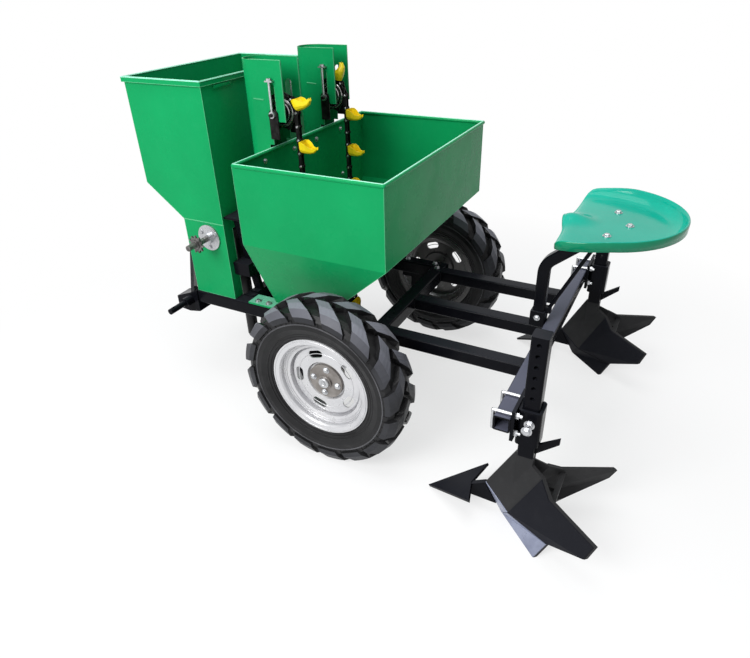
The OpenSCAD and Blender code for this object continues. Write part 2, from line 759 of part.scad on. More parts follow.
module feed_drops() color(dark) place() both() difference() {
    union() {
        box([feed_x - house[0] / 2, row_y - house[1] / 2, feed_z - house_d],
            [feed_x + house[0] / 2, row_y + house[1] / 2, fert_floor - sheet - seat_gap]);
        translate([feed_x, row_y, drop_z]) cylinder(h = feed_z - house_d / 2 - drop_z, r = drop_r);
    }
    translate([feed_x, row_y, drop_z - drop_r]) cylinder(h = feed_z - drop_z + drop_r, r = drop_r - drop_t);
    ybar(feed_x, feed_z, feed_r + feed_clear, 0, 2 * row_y);
}

// Potato hopper

// The space within the hopper's outline, drawn in by t and raised at its top by up.
module hopper_block(t, up) intersection() {
    slab(-2 * pot_y, 2 * pot_y) polygon([[pot_x0 + t, pot_top + up], [pot_x1 - t, pot_top + up],
        [pot_x1 - t, pot_bot + t], [pot_xb + 1.5 * t, pot_bot + t], [pot_x0 + t, pot_crease]]);
    rotate([90, 0, 90]) translate([0, 0, 2 * pot_x0]) linear_extrude(height = 2 * pot_x1 - 2 * pot_x0)
        polygon([[-pot_y + t, pot_top + up], [pot_y - t, pot_top + up], [pot_y - t, pot_crease],
            [pot_yb - 1.2 * t, pot_bot + t], [-pot_yb + 1.2 * t, pot_bot + t], [-pot_y + t, pot_crease]]);
}

module potato_hopper() color(green) place() {
    difference() {
        hopper_block(0, 0);
        hopper_block(sheet, tube);
        both() box([spr_x - spr_r - cup_end - chain_clear, row_y - cup_r - chain_clear, rail_bot],
            [spr_x - spr_r + link_r + chain_clear, row_y + cup_r + chain_clear, pot_bot + tube]);
    }
    for (x = [pot_x0, pot_x1 - rim_roll]) ybar(x, pot_top, rim_roll, -pot_y, pot_y);
    for (s = [1, -1]) translate([pot_x0, s * pot_y, pot_top]) rotate([0, 90, 0])
        cylinder(h = pot_x1 - pot_x0 - rim_roll, r = rim_roll);
    for (s = [1, -1], x = [pot_x0, pot_x1 - rim_roll])
        translate([x, s * pot_y, pot_top]) sphere(r = rim_roll);
}

module hopper_feet() color(green) place() both()
    box([pot_x1 - foot_l, rail_in - tube / 5, rail_top + seat_gap],
        [mid_beam_x - tube / 4, rail_y, rail_top + foot_t]);

// Seed elevators

// A column seen from above: straight sides from x0 and a half-round front, drawn in by t.
module column_plan(x0, t) translate([0, row_y]) {
    translate([col_mid, 0]) circle(r = col_half - t);
    translate([x0, t - col_half]) square([col_mid - x0, col_w - 2 * t]);
}

// Below the head the column stands against the hopper's front wall, and the head's sides reach over the rim.
// Each side has a slot for the top shaft, open downward behind a hanging strip.
module seed_column(s) color(green) place() hand(s) difference() {
    translate([0, 0, col_bot]) linear_extrude(height = col_top - col_bot) column_plan(col_x0, 0);
    translate([0, 0, col_bot - tube]) linear_extrude(height = col_top - col_bot + 2 * tube)
        column_plan(col_x0 - tube, sheet);
    box([0, 0, col_bot - tube], [wall_x, 2 * row_y, pot_top + rim_roll + notch]);
    box([0, 0, col_bot - tube], [spr_x + slot_r, 2 * row_y, col_top - strip_l]);
    slab(0, 2 * row_y) {
        translate([spr_x, col_top - slot_drop - slot_r]) circle(r = slot_r);
        translate([spr_x - slot_r, pot_top]) square([2 * slot_r, col_top - slot_drop - slot_r - pot_top]);
    }
}
module seed_column_left() seed_column(1);
module seed_column_right() seed_column(-1);

module column_stays() color(dark) place() {
    low = rail_top + stay_h;
    high = rail_top + strip_h;
    box([col_x1 + seat_gap, -rail_y + tube / 2, low], [fert_x0 - seat_gap, rail_y - tube / 2, low + stay_d]);
    box([col_x1 + seat_gap, -fert_y + strip_t, high], [fert_x0 - seat_gap, fert_y - strip_t, high + strip_t]);
    both() {
        bar([stay_x, rail_in + strip_t, high + strip_t / 2],
            [stay_x, row_y + col_half, rail_top + strip_t / 2], slant_t, slant_w);
        box([stay_x - slant_t, row_y + col_half - slant_w, rail_top + seat_gap],
            [stay_x + slant_t, row_y + col_half + slant_w, rail_top + strip_t]);
    }
}

// On each side of a column an eye bolt holds the end of the top shaft, hung from a lug over the slot.
module tensioner(s) color(zinc) place() hand(s) translate([0, row_y, 0]) both() {
    lug_z = col_top - slot_drop + eye_rod;
    mid = eye_y + eye_t / 2;
    difference() {
        union() {
            ybar(spr_x, spr_top, eye_r, eye_y, eye_y + eye_t);
            translate([spr_x, mid, spr_top]) cylinder(h = lug_z + eye_r - spr_top, r = eye_rod);
            box([spr_x - lug_plate / 2, col_half + seat_gap, lug_z],
                [spr_x + lug_plate / 2, eye_y + eye_t, lug_z + 2 * seat_gap + eye_rod]);
            translate([spr_x, mid, lug_z + eye_rod]) cylinder(h = 2 * eye_rod, r = 2 * eye_rod, $fn = 6);
        }
        ybar(spr_x, spr_top, spr_end + seat_gap, 0, 2 * eye_y);
    }
}
module tensioner_left() tensioner(1);
module tensioner_right() tensioner(-1);

// A sprocket's outline: the root circle and teeth that stand between the chain's rollers, first tooth at a.
module sprocket2d(a) {
    root = spr_r - roller_r - seat_gap;
    circle(r = root);
    foot = root * [cos(140 / spr_teeth), sin(140 / spr_teeth)];
    for (i = [0:spr_teeth - 1]) rotate(a + i * 360 / spr_teeth)
        polygon([[0, -foot[1]], [foot[0], -foot[1]], [spr_r + roller_r / 2, -roller_r / 2],
            [spr_r + roller_r / 2, roller_r / 2], foot, [0, foot[1]]]);
}

module top_sprocket(s) color(dark) place() hand(s) translate([0, row_y, 0]) {
    slab(-spr_t / 2, spr_t / 2) translate([spr_x, spr_top]) sprocket2d(180 / spr_teeth);
    ybar(spr_x, spr_top, spr_hub, -spr_hub_l / 2, spr_hub_l / 2);
    ybar(spr_x, spr_top, spr_shaft, -col_half, col_half);
    ybar(spr_x, spr_top, spr_end, -eye_y - 2 * eye_t, eye_y + 2 * eye_t);
    both() difference() {
        slab(slide_y, slide_y + slide_t) {
            translate([spr_x, spr_top]) circle(r = 1.6 * eye_r);
            translate([spr_x - 1.6 * eye_r, spr_top - slide_l]) square([3.2 * eye_r, slide_l]);
        }
        ybar(spr_x, spr_top, spr_end + seat_gap, 0, 2 * eye_y);
    }
}
module top_sprocket_left() top_sprocket(1);
module top_sprocket_right() top_sprocket(-1);

module lower_shaft() color(dark) place() {
    end = row_y + open_y + open_t + spr_shaft;
    ybar(spr_x, spr_low, spr_shaft, -end, end);
    both() {
        slab(row_y - spr_t / 2, row_y + spr_t / 2) translate([spr_x, spr_low]) sprocket2d(0);
        ybar(spr_x, spr_low, spr_hub, row_y - spr_hub_l / 2, row_y + spr_hub_l / 2);
    }
}

// The chain's joints, in the way it runs: over the top, down in the column, round below and up in the hopper.
step = 360 / spr_teeth;
joints = concat(
    [for (k = [0:spr_teeth / 2]) [spr_x - spr_r * cos(k * step), spr_top + spr_r * sin(k * step)]],
    [for (k = [1:run_links]) [spr_x + spr_r, spr_top - k * chain_pitch]],
    [for (k = [0.5:spr_teeth / 2]) [spr_x + spr_r * cos(k * step), spr_low - spr_r * sin(k * step)]],
    [for (k = [run_links:-1:1]) [spr_x - spr_r, spr_top - k * chain_pitch]]);
link_n = len(joints);
function link_mid(i) = (joints[i] + joints[(i + 1) % link_n]) / 2;
function link_turn(i) = let(d = joints[(i + 1) % link_n] - joints[i]) atan2(d[1], d[0]);

// Plates with round ends and a waist, on both sides of the rollers that join them.
module cup_chain(s) color(dark) place() hand(s) translate([0, row_y, 0]) {
    both() slab(chain_in / 2, chain_out) {
        for (j = joints) translate(j) circle(r = link_r, $fn = 12);
        for (i = [0:link_n - 1]) translate(link_mid(i)) rotate(link_turn(i))
            square([chain_pitch, link_waist], center = true);
    }
    for (j = joints) translate([j[0], -chain_out, j[1]]) rotate([-90, 0, 0])
        cylinder(h = 2 * chain_out, r = roller_r, $fn = 8);
}
module cup_chain_left() cup_chain(1);
module cup_chain_right() cup_chain(-1);

// A moulded cup. It stands out from the chain along X, its mouth looks along -Z, the way the chain runs,
// and its outer side is drawn out to a spout.
module cup() difference() {
    bowl_x = cup_x + cup_r - cup_t;
    spout_l = cup_end - bowl_x - cup_r / 2;
    mouth = -cup_h / 2;
    union() {
        translate([bowl_x, 0, mouth]) cylinder(h = cup_h, r1 = cup_r, r2 = cup_bot, $fn = 32);
        translate([bowl_x + cup_r / 2, 0, mouth]) rotate([0, 90, 0])
            cylinder(h = spout_l, r1 = spout_r, r2 = spout_r / 3, $fn = 32);
        box([link_r + seat_gap, -cup_bot, mouth + cup_t], [bowl_x, cup_bot, cup_h / 2]);
    }
    translate([bowl_x, 0, mouth - 0.01])
        cylinder(h = cup_h - cup_t, r1 = cup_r - cup_t, r2 = cup_bot - 0.8 * cup_t, $fn = 32);
    translate([bowl_x, 0, mouth]) rotate([0, 90, 0])
        cylinder(h = spout_l + cup_r / 2 - cup_t, r1 = spout_r, r2 = spout_r / 3 - cup_t / 2, $fn = 32);
    box([0, -2 * cup_r, 2 * mouth - cup_r], [2 * cup_end, 2 * cup_r, mouth]);
    box([-cup_end, -2 * cup_r, -2 * cup_h], [link_r + seat_gap, 2 * cup_r, 2 * cup_h]);
}

module cups(s, first) color([0.95, 0.7, 0.05]) place() hand(s) for (i = [first:cup_links:link_n - 1])
    translate([link_mid(i)[0], row_y, link_mid(i)[1]]) rotate([0, -90 - link_turn(i), 0]) cup();
module cups_left() cups(1, 0);
module cups_right() cups(-1, 1);

// Furrow openers

module opener(s) color(dark) place() hand(s) translate([0, row_y, 0]) difference() {
    back = col_x1 - 2 * open_t;
    heel_x = spr_x - heel_l;
    side = open_y + open_t;
    union() {
        both() slab(open_y, side) polygon([[wall_x + 2 * open_t, rail_top - open_drop],
            [col_x1, rail_top - open_drop], [col_x1, open_foot], [heel_x, open_foot],
            [heel_x + open_back / 2, heel_h],
            [spr_x - open_back, heel_h + open_back], [spr_x - open_back, spr_low + 1.5 * open_back]]);
        intersection() {
            slab(-col_w, col_w) polygon([[back, rail_bot - seat_gap],
                [mid_beam_x + tube, rail_bot - seat_gap],
                [mid_beam_x + tube, open_slope], [open_tip, 0], [back + open_t, 0], [back, open_foot]]);
            linear_extrude(height = rail_top) polygon([[back, -side], [col_x1, -side],
                [open_tip, -open_tip_t],
                [open_tip, open_tip_t], [col_x1, side], [back, side]]);
        }
    }
    box([0, -open_y, 4 * open_foot], [col_x1 + seat_gap, open_y, rail_top]);
    ybar(spr_x, spr_low, spr_shaft + seat_gap, -col_w, col_w);
}
module opener_left() opener(1);
module opener_right() opener(-1);

// Ridgers

module ridger_sleeve(s) color(dark) place() hand(s) translate([shank_x, ridge_y, 0]) difference() {
    in = shank_w / 2 + seat_gap;
    union() {
        translate([0, 0, sleeve_z0]) linear_extrude(height = sleeve_l)
            rounded(2 * sleeve_h, 2 * sleeve_h, 2 * tube_edge);
        box([sleeve_h - clamp_lap, -clamp_y, tool_bot - clamp_up],
            [sleeve_h + clamp_t, clamp_y, tool_top + clamp_up]);
    }
    box([-in, -in, sleeve_z0 - tube], [in, in, sleeve_z1 + tube]);
    for (y = [-ubolt_y, ubolt_y], z = [tool_top + ubolt_r, tool_bot - ubolt_r])
        translate([0, y, z]) rotate([0, 90, 0]) cylinder(h = 2 * tube, r = ubolt_r + 2 * seat_gap);
}
module ridger_sleeve_left() ridger_sleeve(1);
module ridger_sleeve_right() ridger_sleeve(-1);

module u_bolts() color(zinc) place() both() for (y = [ridge_y - ubolt_y, ridge_y + ubolt_y]) {
    front = tool_x + ubolt_r + seat_gap;
    back = tool_x0 - clamp_t - clamp_lap - 2 * seat_gap;
    zs = [tool_top + ubolt_r + seat_gap, tool_bot - ubolt_r - seat_gap];
    for (z = zs) {
        rod([back - 2 * nut_h, y, z], [front, y, z], ubolt_r);
        translate([front, y, z]) sphere(r = ubolt_r);
        translate([back, y, z]) rotate([0, -90, 0]) cylinder(h = nut_h, r = nut_r, $fn = 6);
    }
    rod([front, y, zs[1]], [front, y, zs[0]], ubolt_r);
}

// A square post with a row of holes, and a tapered tab behind it under the sleeve.
module ridger_shank(s) color(dark) place() hand(s) translate([shank_x, ridge_y, 0]) difference() {
    union() {
        translate([0, 0, ridge_top + seat_gap]) linear_extrude(height = shank_top - ridge_top - seat_gap)
            rounded(shank_w, shank_w, tube_edge);
        slab(-sleeve_t / 2, sleeve_t / 2) polygon([[1 - shank_w / 2, sleeve_z0 - 1.2 * sleeve_t],
            [-sleeve_h - sleeve_tab, sleeve_z0 + 3.5 * sleeve_t],
            [-sleeve_h - sleeve_tab, sleeve_z0 + 1.5 * sleeve_t],
            [1 - shank_w / 2, sleeve_z0 - 4.6 * sleeve_t]]);
    }
    for (i = [0:hole_n - 1]) ybar(0, shank_top - hole_top - i * hole_pitch, hole_r, -shank_w, shank_w);
}
module ridger_shank_left() ridger_shank(1);
module ridger_shank_right() ridger_shank(-1);

// Corners of the plates on one side of a ridger's body.
// columns: way back from the front edge to the wing's tip, way out to the tip, way up to the top
corners = [
    [0.00, 0.00, 0.40], // nose, where the point is fixed
    [0.24, 0.00, 1.00], // crown, in front of the shank
    [0.49, 0.19, 0.82], // upper end of the fold between breast and wing
    [0.25, 0.23, 0.19], // lower end of the fold
    [0.18, 0.00, 0.00], // keel
    [0.56, 0.72, 0.00], // tip of the share
    [0.64, 0.61, 0.19], // rear corner of the share
    [0.95, 1.00, 0.45], // lower tip of the wing
    [1.00, 0.95, 0.62], // upper tip of the wing
    [0.59, 0.42, 0.70]]; // root of the wing's upper edge
// columns: corners round each plate
plates = [[0, 1, 2, 3], [0, 3, 4], [4, 3, 6, 5], [3, 2, 9, 8, 7, 6]];
function corner(i) = [nose_x - corners[i][0] * wing_l, corners[i][1] * wing_y, corners[i][2] * ridge_top];

// A triangle of plate between three corners, with its thickness along v.
module tri(a, b, c, v) {
    turn = cross(b - a, c - a) * v > 0;
    p = turn ? b : c;
    q = turn ? c : b;
    polyhedron(points = [a, p, q, a + v, p + v, q + v],
        faces = [[0, 1, 2], [5, 4, 3], [0, 3, 4, 1], [1, 4, 5, 2], [2, 5, 3, 0]]);
}

// Flat plates folded to a V, with a stay between the wings and a post under the shank.
module ridger_body(s) color(dark) place() hand(s) translate([0, ridge_y, 0]) {
    post = 0.4 * shank_w;
    stay = corner(9) - [2 * wing_t, 0, wing_stay];
    both() intersection() {
        for (p = plates, k = [1:len(p) - 2])
            tri(corner(p[0]), corner(p[k]), corner(p[k + 1]), [-wing_t, -wing_t, 0]);
        box([-far - tool_half, 0, 0], [0, far, far]);
    }
    box([shank_x - shank_w / 2, -post, 0.25 * ridge_top], [shank_x + shank_w / 2, post, ridge_top]);
    box([stay[0], -stay[1], stay[2] - wing_stay], [stay[0] + wing_stay, stay[1], stay[2]]);
    box([stay[0], -wing_stay / 2, stay[2] - wing_stay], [shank_x, wing_stay / 2, stay[2]]);
}
module ridger_body_left() ridger_body(1);
module ridger_body_right() ridger_body(-1);

// A flat arrow-shaped plate that slopes down to its tip, on a short stem in front of the body.
module ridger_point(s) color(dark) place() hand(s) translate([nose_x + seat_gap, ridge_y, 0]) {
    slope = atan2(point_h - point_t, point_l);
    intersection() {
        translate([point_l, 0, point_t]) rotate([0, slope, 0]) translate([0, 0, -point_t])
            linear_extrude(height = point_t) polygon([[0, 0], [-point_l, point_y], [-0.86 * point_l, 0],
                [-point_l, -point_y]]);
        box([0, -far, 0], [2 * point_l, far, 2 * point_h]);
    }
    nose_z = corner(0)[2];
    keel = corner(4) - corner(0);
    slab(-point_t, point_t) polygon([[0, nose_z], [0.65 * keel[0], nose_z + 0.65 * keel[2]],
        [0.6 * point_l, 0.4 * point_h]]);
}
module ridger_point_left() ridger_point(1);
module ridger_point_right() ridger_point(-1);

// Seat

// The pressed pan from its middle outward: flat floor, curve up to the edge and rolled rim.
module pan_section() {
    square([pan_flat, pan_t]);
    translate([pan_flat, pan_curve]) intersection() {
        difference() {
            circle(r = pan_curve);
            circle(r = pan_curve - pan_t);
        }
        translate([0, -pan_curve]) square([pan_curve, pan_curve * (1 - sin(pan_lean))]);
    }
    translate([pan_r - pan_roll, pan_curve * (1 - sin(pan_lean))]) circle(r = pan_roll);
}

// The pan's round edge goes on past its middle on both sides, and its floor reaches forward to a lip with a
// pressed hump.
module seat_pan() color(green) place() translate([pan_x, 0, pan_z]) {
    front = seat_x1 - pan_x;
    pan_more = asin(front / pan_r);
    side = pan_flat * [sin(pan_more), cos(pan_more)];
    lip = 0.6 * pan_flat;
    dome = (hump_r * hump_r + hump_h * hump_h) / 2 / hump_h;
    difference() {
        union() {
            rotate([0, 0, 90]) rotate_extrude(angle = 180) pan_section();
            both() rotate([0, 0, 90 - pan_more]) rotate_extrude(angle = pan_more) pan_section();
            linear_extrude(height = pan_t)
                polygon([[0, 0], side, [front, lip], [front, -lip], [side[0], -side[1]]]);
        }
        translate([front, 0, hump_h - dome]) sphere(r = dome - pan_t);
    }
    intersection() {
        difference() {
            translate([front, 0, hump_h - dome]) sphere(r = dome);
            translate([front, 0, hump_h - dome]) sphere(r = dome - pan_t);
        }
        box([-far, -far, 0], [front, far, far]);
    }
}

module seat_arm() color(dark) place() {
    bend_z = pan_z - seat_gap - arm_t - arm_bend;
    bend_x = arm_x - arm_t - arm_bend;
    slab(-arm_w / 2, arm_w / 2) {
        translate([arm_x - arm_t, bar_top + seat_gap]) square([arm_t, bend_z - bar_top - seat_gap]);
        translate([bend_x, bend_z]) intersection() {
            difference() {
                circle(r = arm_bend + arm_t);
                circle(r = arm_bend);
            }
            square(arm_bend + arm_t);
        }
        translate([pan_x - arm_l, bend_z + arm_bend]) square([bend_x - pan_x + arm_l, arm_t]);
        translate([tool_x + 2, bar_top + seat_gap]) square([arm_x - tool_x + arm_t, arm_foot]);
    }
}

module seat_brace() color(dark) place() {
    under = pan_z - seat_gap - arm_t - seat_gap;
    back = arm_x - arm_t - seat_gap;
    low = bar_top + brace_h;
    rod([back - brace_end / 2, 0, low], [pan_x - brace_end, 0, under - brace_end / 2], brace_r);
    box([back - brace_end, -brace_end / 2, low - brace_end / 2], [back, brace_end / 2, low + brace_end / 2]);
    box([pan_x - 2 * brace_end, -brace_end / 2, under - brace_end], [pan_x, brace_end / 2, under]);
}

side_rail_left();
side_rail_right();
cross_beams();
hitch_bracket_left();
hitch_bracket_right();
mast();
rear_bars();
toolbar();
axle();
axle_bearings();
hub_left();
hub_right();
rim_left();
rim_right();
tyre_left();
tyre_right();
fertiliser_hopper();
feed_bearings();
feed_shaft();
feed_sprocket();
feed_drops();
potato_hopper();
hopper_feet();
seed_column_left();
seed_column_right();
column_stays();
tensioner_left();
tensioner_right();
top_sprocket_left();
top_sprocket_right();
lower_shaft();
cup_chain_left();
cup_chain_right();
cups_left();
cups_right();
opener_left();
opener_right();
ridger_sleeve_left();
ridger_sleeve_right();
u_bolts();
ridger_shank_left();
ridger_shank_right();
ridger_body_left();
ridger_body_right();
ridger_point_left();
ridger_point_right();
seat_pan();
seat_arm();
seat_brace();
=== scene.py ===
import math

import bmesh
import bpy
from mathutils import Matrix, Vector


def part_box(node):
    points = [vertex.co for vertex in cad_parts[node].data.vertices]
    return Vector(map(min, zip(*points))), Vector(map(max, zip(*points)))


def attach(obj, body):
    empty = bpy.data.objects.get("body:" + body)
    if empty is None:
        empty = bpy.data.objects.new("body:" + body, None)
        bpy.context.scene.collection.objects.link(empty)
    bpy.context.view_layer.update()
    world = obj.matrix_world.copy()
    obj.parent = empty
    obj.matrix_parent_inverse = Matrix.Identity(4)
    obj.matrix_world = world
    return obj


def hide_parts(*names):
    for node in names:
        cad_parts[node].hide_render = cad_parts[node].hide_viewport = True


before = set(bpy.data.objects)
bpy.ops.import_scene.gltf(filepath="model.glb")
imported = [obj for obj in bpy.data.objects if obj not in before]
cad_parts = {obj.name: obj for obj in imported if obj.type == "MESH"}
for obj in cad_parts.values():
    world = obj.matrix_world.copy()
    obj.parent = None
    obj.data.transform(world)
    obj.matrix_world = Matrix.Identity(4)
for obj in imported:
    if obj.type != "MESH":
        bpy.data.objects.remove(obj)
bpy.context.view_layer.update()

# Frame of square steel tube: two rails, cross beams, rear bars, toolbar, mast and hitch brackets.
# The tubes are welded together and sprayed with black gloss enamel that has a faint blue cast.


def new_finish(name):
    """A material with its shader and the object's own coordinates."""
    material = bpy.data.materials.new(name)
    material.use_nodes = True
    tree = material.node_tree
    where = tree.nodes.new("ShaderNodeTexCoord").outputs["Object"]
    return material, tree, tree.nodes["Principled BSDF"], where


def cloud(tree, where, scale, detail=3.0):
    """Soft noise of a given scale, from 0 to 1."""
    node = tree.nodes.new("ShaderNodeTexNoise")
    node.inputs["Scale"].default_value = scale
    node.inputs["Detail"].default_value = detail
    tree.links.new(where, node.inputs["Vector"])
    return node.outputs["Fac"]


def between(tree, value, low, high, start=0.3, end=0.7):
    """Maps a value from start..end to low..high."""
    node = tree.nodes.new("ShaderNodeMapRange")
    for socket, number in (("From Min", start), ("From Max", end), ("To Min", low), ("To Max", high)):
        node.inputs[socket].default_value = number
    tree.links.new(value, node.inputs["Value"])
    return node.outputs["Result"]


def blend_colour(tree, share, first, second):
    """Mixes two colours, each a fixed colour or another node's colour."""
    node = tree.nodes.new("ShaderNodeMix")
    node.data_type = "RGBA"
    tree.links.new(share, node.inputs["Factor"])
    for socket, colour in ((node.inputs[6], first), (node.inputs[7], second)):
        if isinstance(colour, tuple):
            socket.default_value = (*colour, 1.0)
        else:
            tree.links.new(colour, socket)
    return node.outputs[2]


def roughen(tree, shader, where, scale, detail, depth):
    """Gives the surface a relief of soft noise, with its depth in metres."""
    node = tree.nodes.new("ShaderNodeBump")
    node.inputs["Distance"].default_value = depth
    node.inputs["Strength"].default_value = 1.0
    tree.links.new(cloud(tree, where, scale, detail), node.inputs["Height"])
    tree.links.new(node.outputs["Normal"], shader.inputs["Normal"])


def sheen(tree, shader, where, scale, detail, low, high):
    """Uneven gloss: soft noise of a given scale and detail between two roughnesses."""
    tree.links.new(between(tree, cloud(tree, where, scale, detail), low, high), shader.inputs["Roughness"])


def scaled(colour, factor):
    """A colour made darker or lighter by a factor."""
    return tuple(channel * factor for channel in colour)


def lay_dust_and_highlight(tree, surface, dust_and_highlight_tone, level, steep):
    """Lightens what looks up, from none at one steepness to most at another: dust and painted highlight."""
    facing = tree.nodes.new("ShaderNodeSeparateXYZ")
    tree.links.new(tree.nodes.new("ShaderNodeNewGeometry").outputs["Normal"], facing.inputs[0])
    return blend_colour(tree, between(tree, facing.outputs["Z"], 0.0, 0.85, steep, level), surface, dust_and_highlight_tone)


def enamel(name, colour, gloss, dusty, shine=0.3, coat=0.0, dust_and_highlight_tone=None):
    """Sprayed enamel: clouded colour, fine dust, uneven gloss, a slight orange peel, and dust with painted
    highlight on its tops.
    """
    material, tree, shader, where = new_finish(name)
    patch = between(tree, cloud(tree, where, 3.5, 4.0), 0.0, 1.0)
    paint = blend_colour(tree, patch, scaled(colour, 0.86), scaled(colour, 1.06))
    dust = between(tree, cloud(tree, where, 38.0, 6.0), 0.0, 0.16, 0.52, 0.8)
    surface = blend_colour(tree, dust, paint, dusty)
    # Tops lightened towards a given tone: dust, and painted highlight where the finish asks for it.
    if dust_and_highlight_tone:
        surface = lay_dust_and_highlight(tree, surface, dust_and_highlight_tone, 0.95, 0.6)
    tree.links.new(surface, shader.inputs["Base Color"])
    sheen(tree, shader, where, 11.0, 5.0, gloss - 0.05, gloss + 0.12)
    shader.inputs["Specular IOR Level"].default_value = shine
    shader.inputs["Coat Weight"].default_value = coat
    shader.inputs["Coat Roughness"].default_value = 0.08
    roughen(tree, shader, where, 300.0, 2.0, 0.0002)
    return material


def finish_nodes(material, *names):
    """Gives CAD pieces a material."""
    for name in names:
        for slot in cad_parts[name].material_slots:
            slot.material = material


black, black_dust = (0.004, 0.0042, 0.006), (0.012, 0.012, 0.014)
# The frame's upward faces get a faint bluish lightening: dust, and a painted reflection of the sky.
black_enamel = enamel("black_enamel", black, 0.18, black_dust, 0.055, 0.0, (0.017, 0.018, 0.023))
finish_nodes(black_enamel, "side_rail_left", "side_rail_right", "cross_beams", "rear_bars", "mast",
             "hitch_bracket_left", "hitch_bracket_right", "column_stays", "axle_bearings")
# Painted reflection: the toolbar's upward faces are lightened to bluish grey, as if they mirror the sky.
toolbar_painted_sheen = enamel("toolbar_painted_sheen", black, 0.18, black_dust, 0.07, 0.0, (0.105, 0.11, 0.152))
finish_nodes(toolbar_painted_sheen, "toolbar")

# Weld beads run round the joints of the tubes: overlapping drops of weld metal, painted over with
# the tubes. Each bead is a row of small domes laid along the line of the joint.


def new_tree(name, numbers):
    """An empty geometry tree with a mesh input, named number inputs and one material input."""
    tree = bpy.data.node_groups.new(name, "GeometryNodeTree")
    tree.interface.new_socket("Geometry", in_out="INPUT", socket_type="NodeSocketGeometry")
    for label in numbers:
        tree.interface.new_socket(label, in_out="INPUT", socket_type="NodeSocketFloat")
    tree.interface.new_socket("Finish", in_out="INPUT", socket_type="NodeSocketMaterial")
    tree.interface.new_socket("Geometry", in_out="OUTPUT", socket_type="NodeSocketGeometry")
    return tree, tree.nodes.new("NodeGroupInput"), tree.nodes.new("NodeGroupOutput")


def wire(tree, *pairs):
    """Links nodes, each pair an output and the input that it feeds."""
    for output, socket in pairs:
        tree.links.new(output, socket)


def close_tree(tree, given, result, instances):
    """Realizes the instances, gives them their material and ends the tree."""
    real = tree.nodes.new("GeometryNodeRealizeInstances")
    paint = tree.nodes.new("GeometryNodeSetMaterial")
    wire(tree, (instances, real.inputs[0]), (real.outputs[0], paint.inputs["Geometry"]),
         (given.outputs["Finish"], paint.inputs["Material"]), (paint.outputs[0], result.inputs["Geometry"]))


def placed(name, data):
    """A new object that holds this data, in the scene."""
    item = bpy.data.objects.new(name, data)
    bpy.context.collection.objects.link(item)
    return item


def grow(name, mesh, tree, numbers, material, body):
    """Runs a geometry tree on a mesh and leaves the result as a plain piece that rides on a body."""
    piece = placed(name, mesh)
    modifier = piece.modifiers.new("build", "NODES")
    modifier.node_group = tree
    for socket in tree.interface.items_tree:
        if socket.in_out == "INPUT" and socket.name in numbers:
            modifier[socket.identifier] = numbers[socket.name]
        elif socket.in_out == "INPUT" and socket.name == "Finish":
            modifier[socket.identifier] = material
    graph = bpy.context.evaluated_depsgraph_get()
    made = bpy.data.meshes.new_from_object(piece.evaluated_get(graph))
    piece.modifiers.remove(modifier)
    piece.data = made
    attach(piece, body)


weld_tree, given, result = new_tree("weld_bead", ("Pitch", "Radius"))
line = weld_tree.nodes.new("GeometryNodeMeshToCurve")
drops = weld_tree.nodes.new("GeometryNodeCurveToPoints")
drops.mode = "LENGTH"
dome = weld_tree.nodes.new("GeometryNodeMeshUVSphere")
dome.inputs["Segments"].default_value = 8
dome.inputs["Rings"].default_value = 5
lay = weld_tree.nodes.new("GeometryNodeInstanceOnPoints")
wire(weld_tree, (given.outputs["Geometry"], line.inputs["Mesh"]),
     (line.outputs["Curve"], drops.inputs["Curve"]), (given.outputs["Pitch"], drops.inputs["Length"]),
     (given.outputs["Radius"], dome.inputs["Radius"]),
     (drops.outputs["Points"], lay.inputs["Points"]), (drops.outputs["Rotation"], lay.inputs["Rotation"]),
     (dome.outputs["Mesh"], lay.inputs["Instance"]))
close_tree(weld_tree, given, result, lay.outputs["Instances"])


def line_mesh(name, lines):
    """A mesh of bare edges, each from a pair of end points."""
    mesh = bpy.data.meshes.new(name)
    points = [point for pair in lines for point in pair]
    mesh.from_pydata(points, [(2 * i, 2 * i + 1) for i in range(len(lines))], [])
    return mesh


def seams(name, lines, radius, material, body):
    """Weld beads along straight lines, each a pair of end points."""
    numbers = {"Pitch": radius * 1.3, "Radius": radius}
    grow(name, line_mesh(name, lines), weld_tree, numbers, material, body)


tube_wide, tube_edge, middle_beam = 0.05, 0.006, 0.441
joint_lines = []
beam_low, beam_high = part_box("cross_beams")
rail_low, rail_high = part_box("side_rail_left")
for x in (beam_low[0], middle_beam, beam_high[0] - tube_wide):
    for y in (rail_low[1], -rail_low[1]):
        joint_lines.append(((x + tube_edge, y, beam_high[2]), (x + tube_wide - tube_edge, y, beam_high[2])))
        for edge in (x, x + tube_wide):
            joint_lines.append(((edge, y, beam_low[2] + tube_edge), (edge, y, beam_high[2] - tube_edge)))
bar_row, bar_half, bar_flat = 0.2435, 0.025, 0.02
bars_low, bars_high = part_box("rear_bars")
for y in (-bar_row, 0.0, bar_row):
    for x in (bars_low[0], bars_high[0]):
        joint_lines.append(((x, y - bar_flat, bars_high[2]), (x, y + bar_flat, bars_high[2])))
        for edge in (y - bar_half, y + bar_half):
            joint_lines.append(((x, edge, bars_low[2] + tube_edge), (x, edge, bars_high[2] - tube_edge)))
seams("frame_welds", joint_lines, 0.0035, black_enamel, "planter")

# Zinc-plated hex bolts and nuts hold the pieces together. Each is a forged head with a chamfered top
# on a plain washer, set square to the face that it clamps.


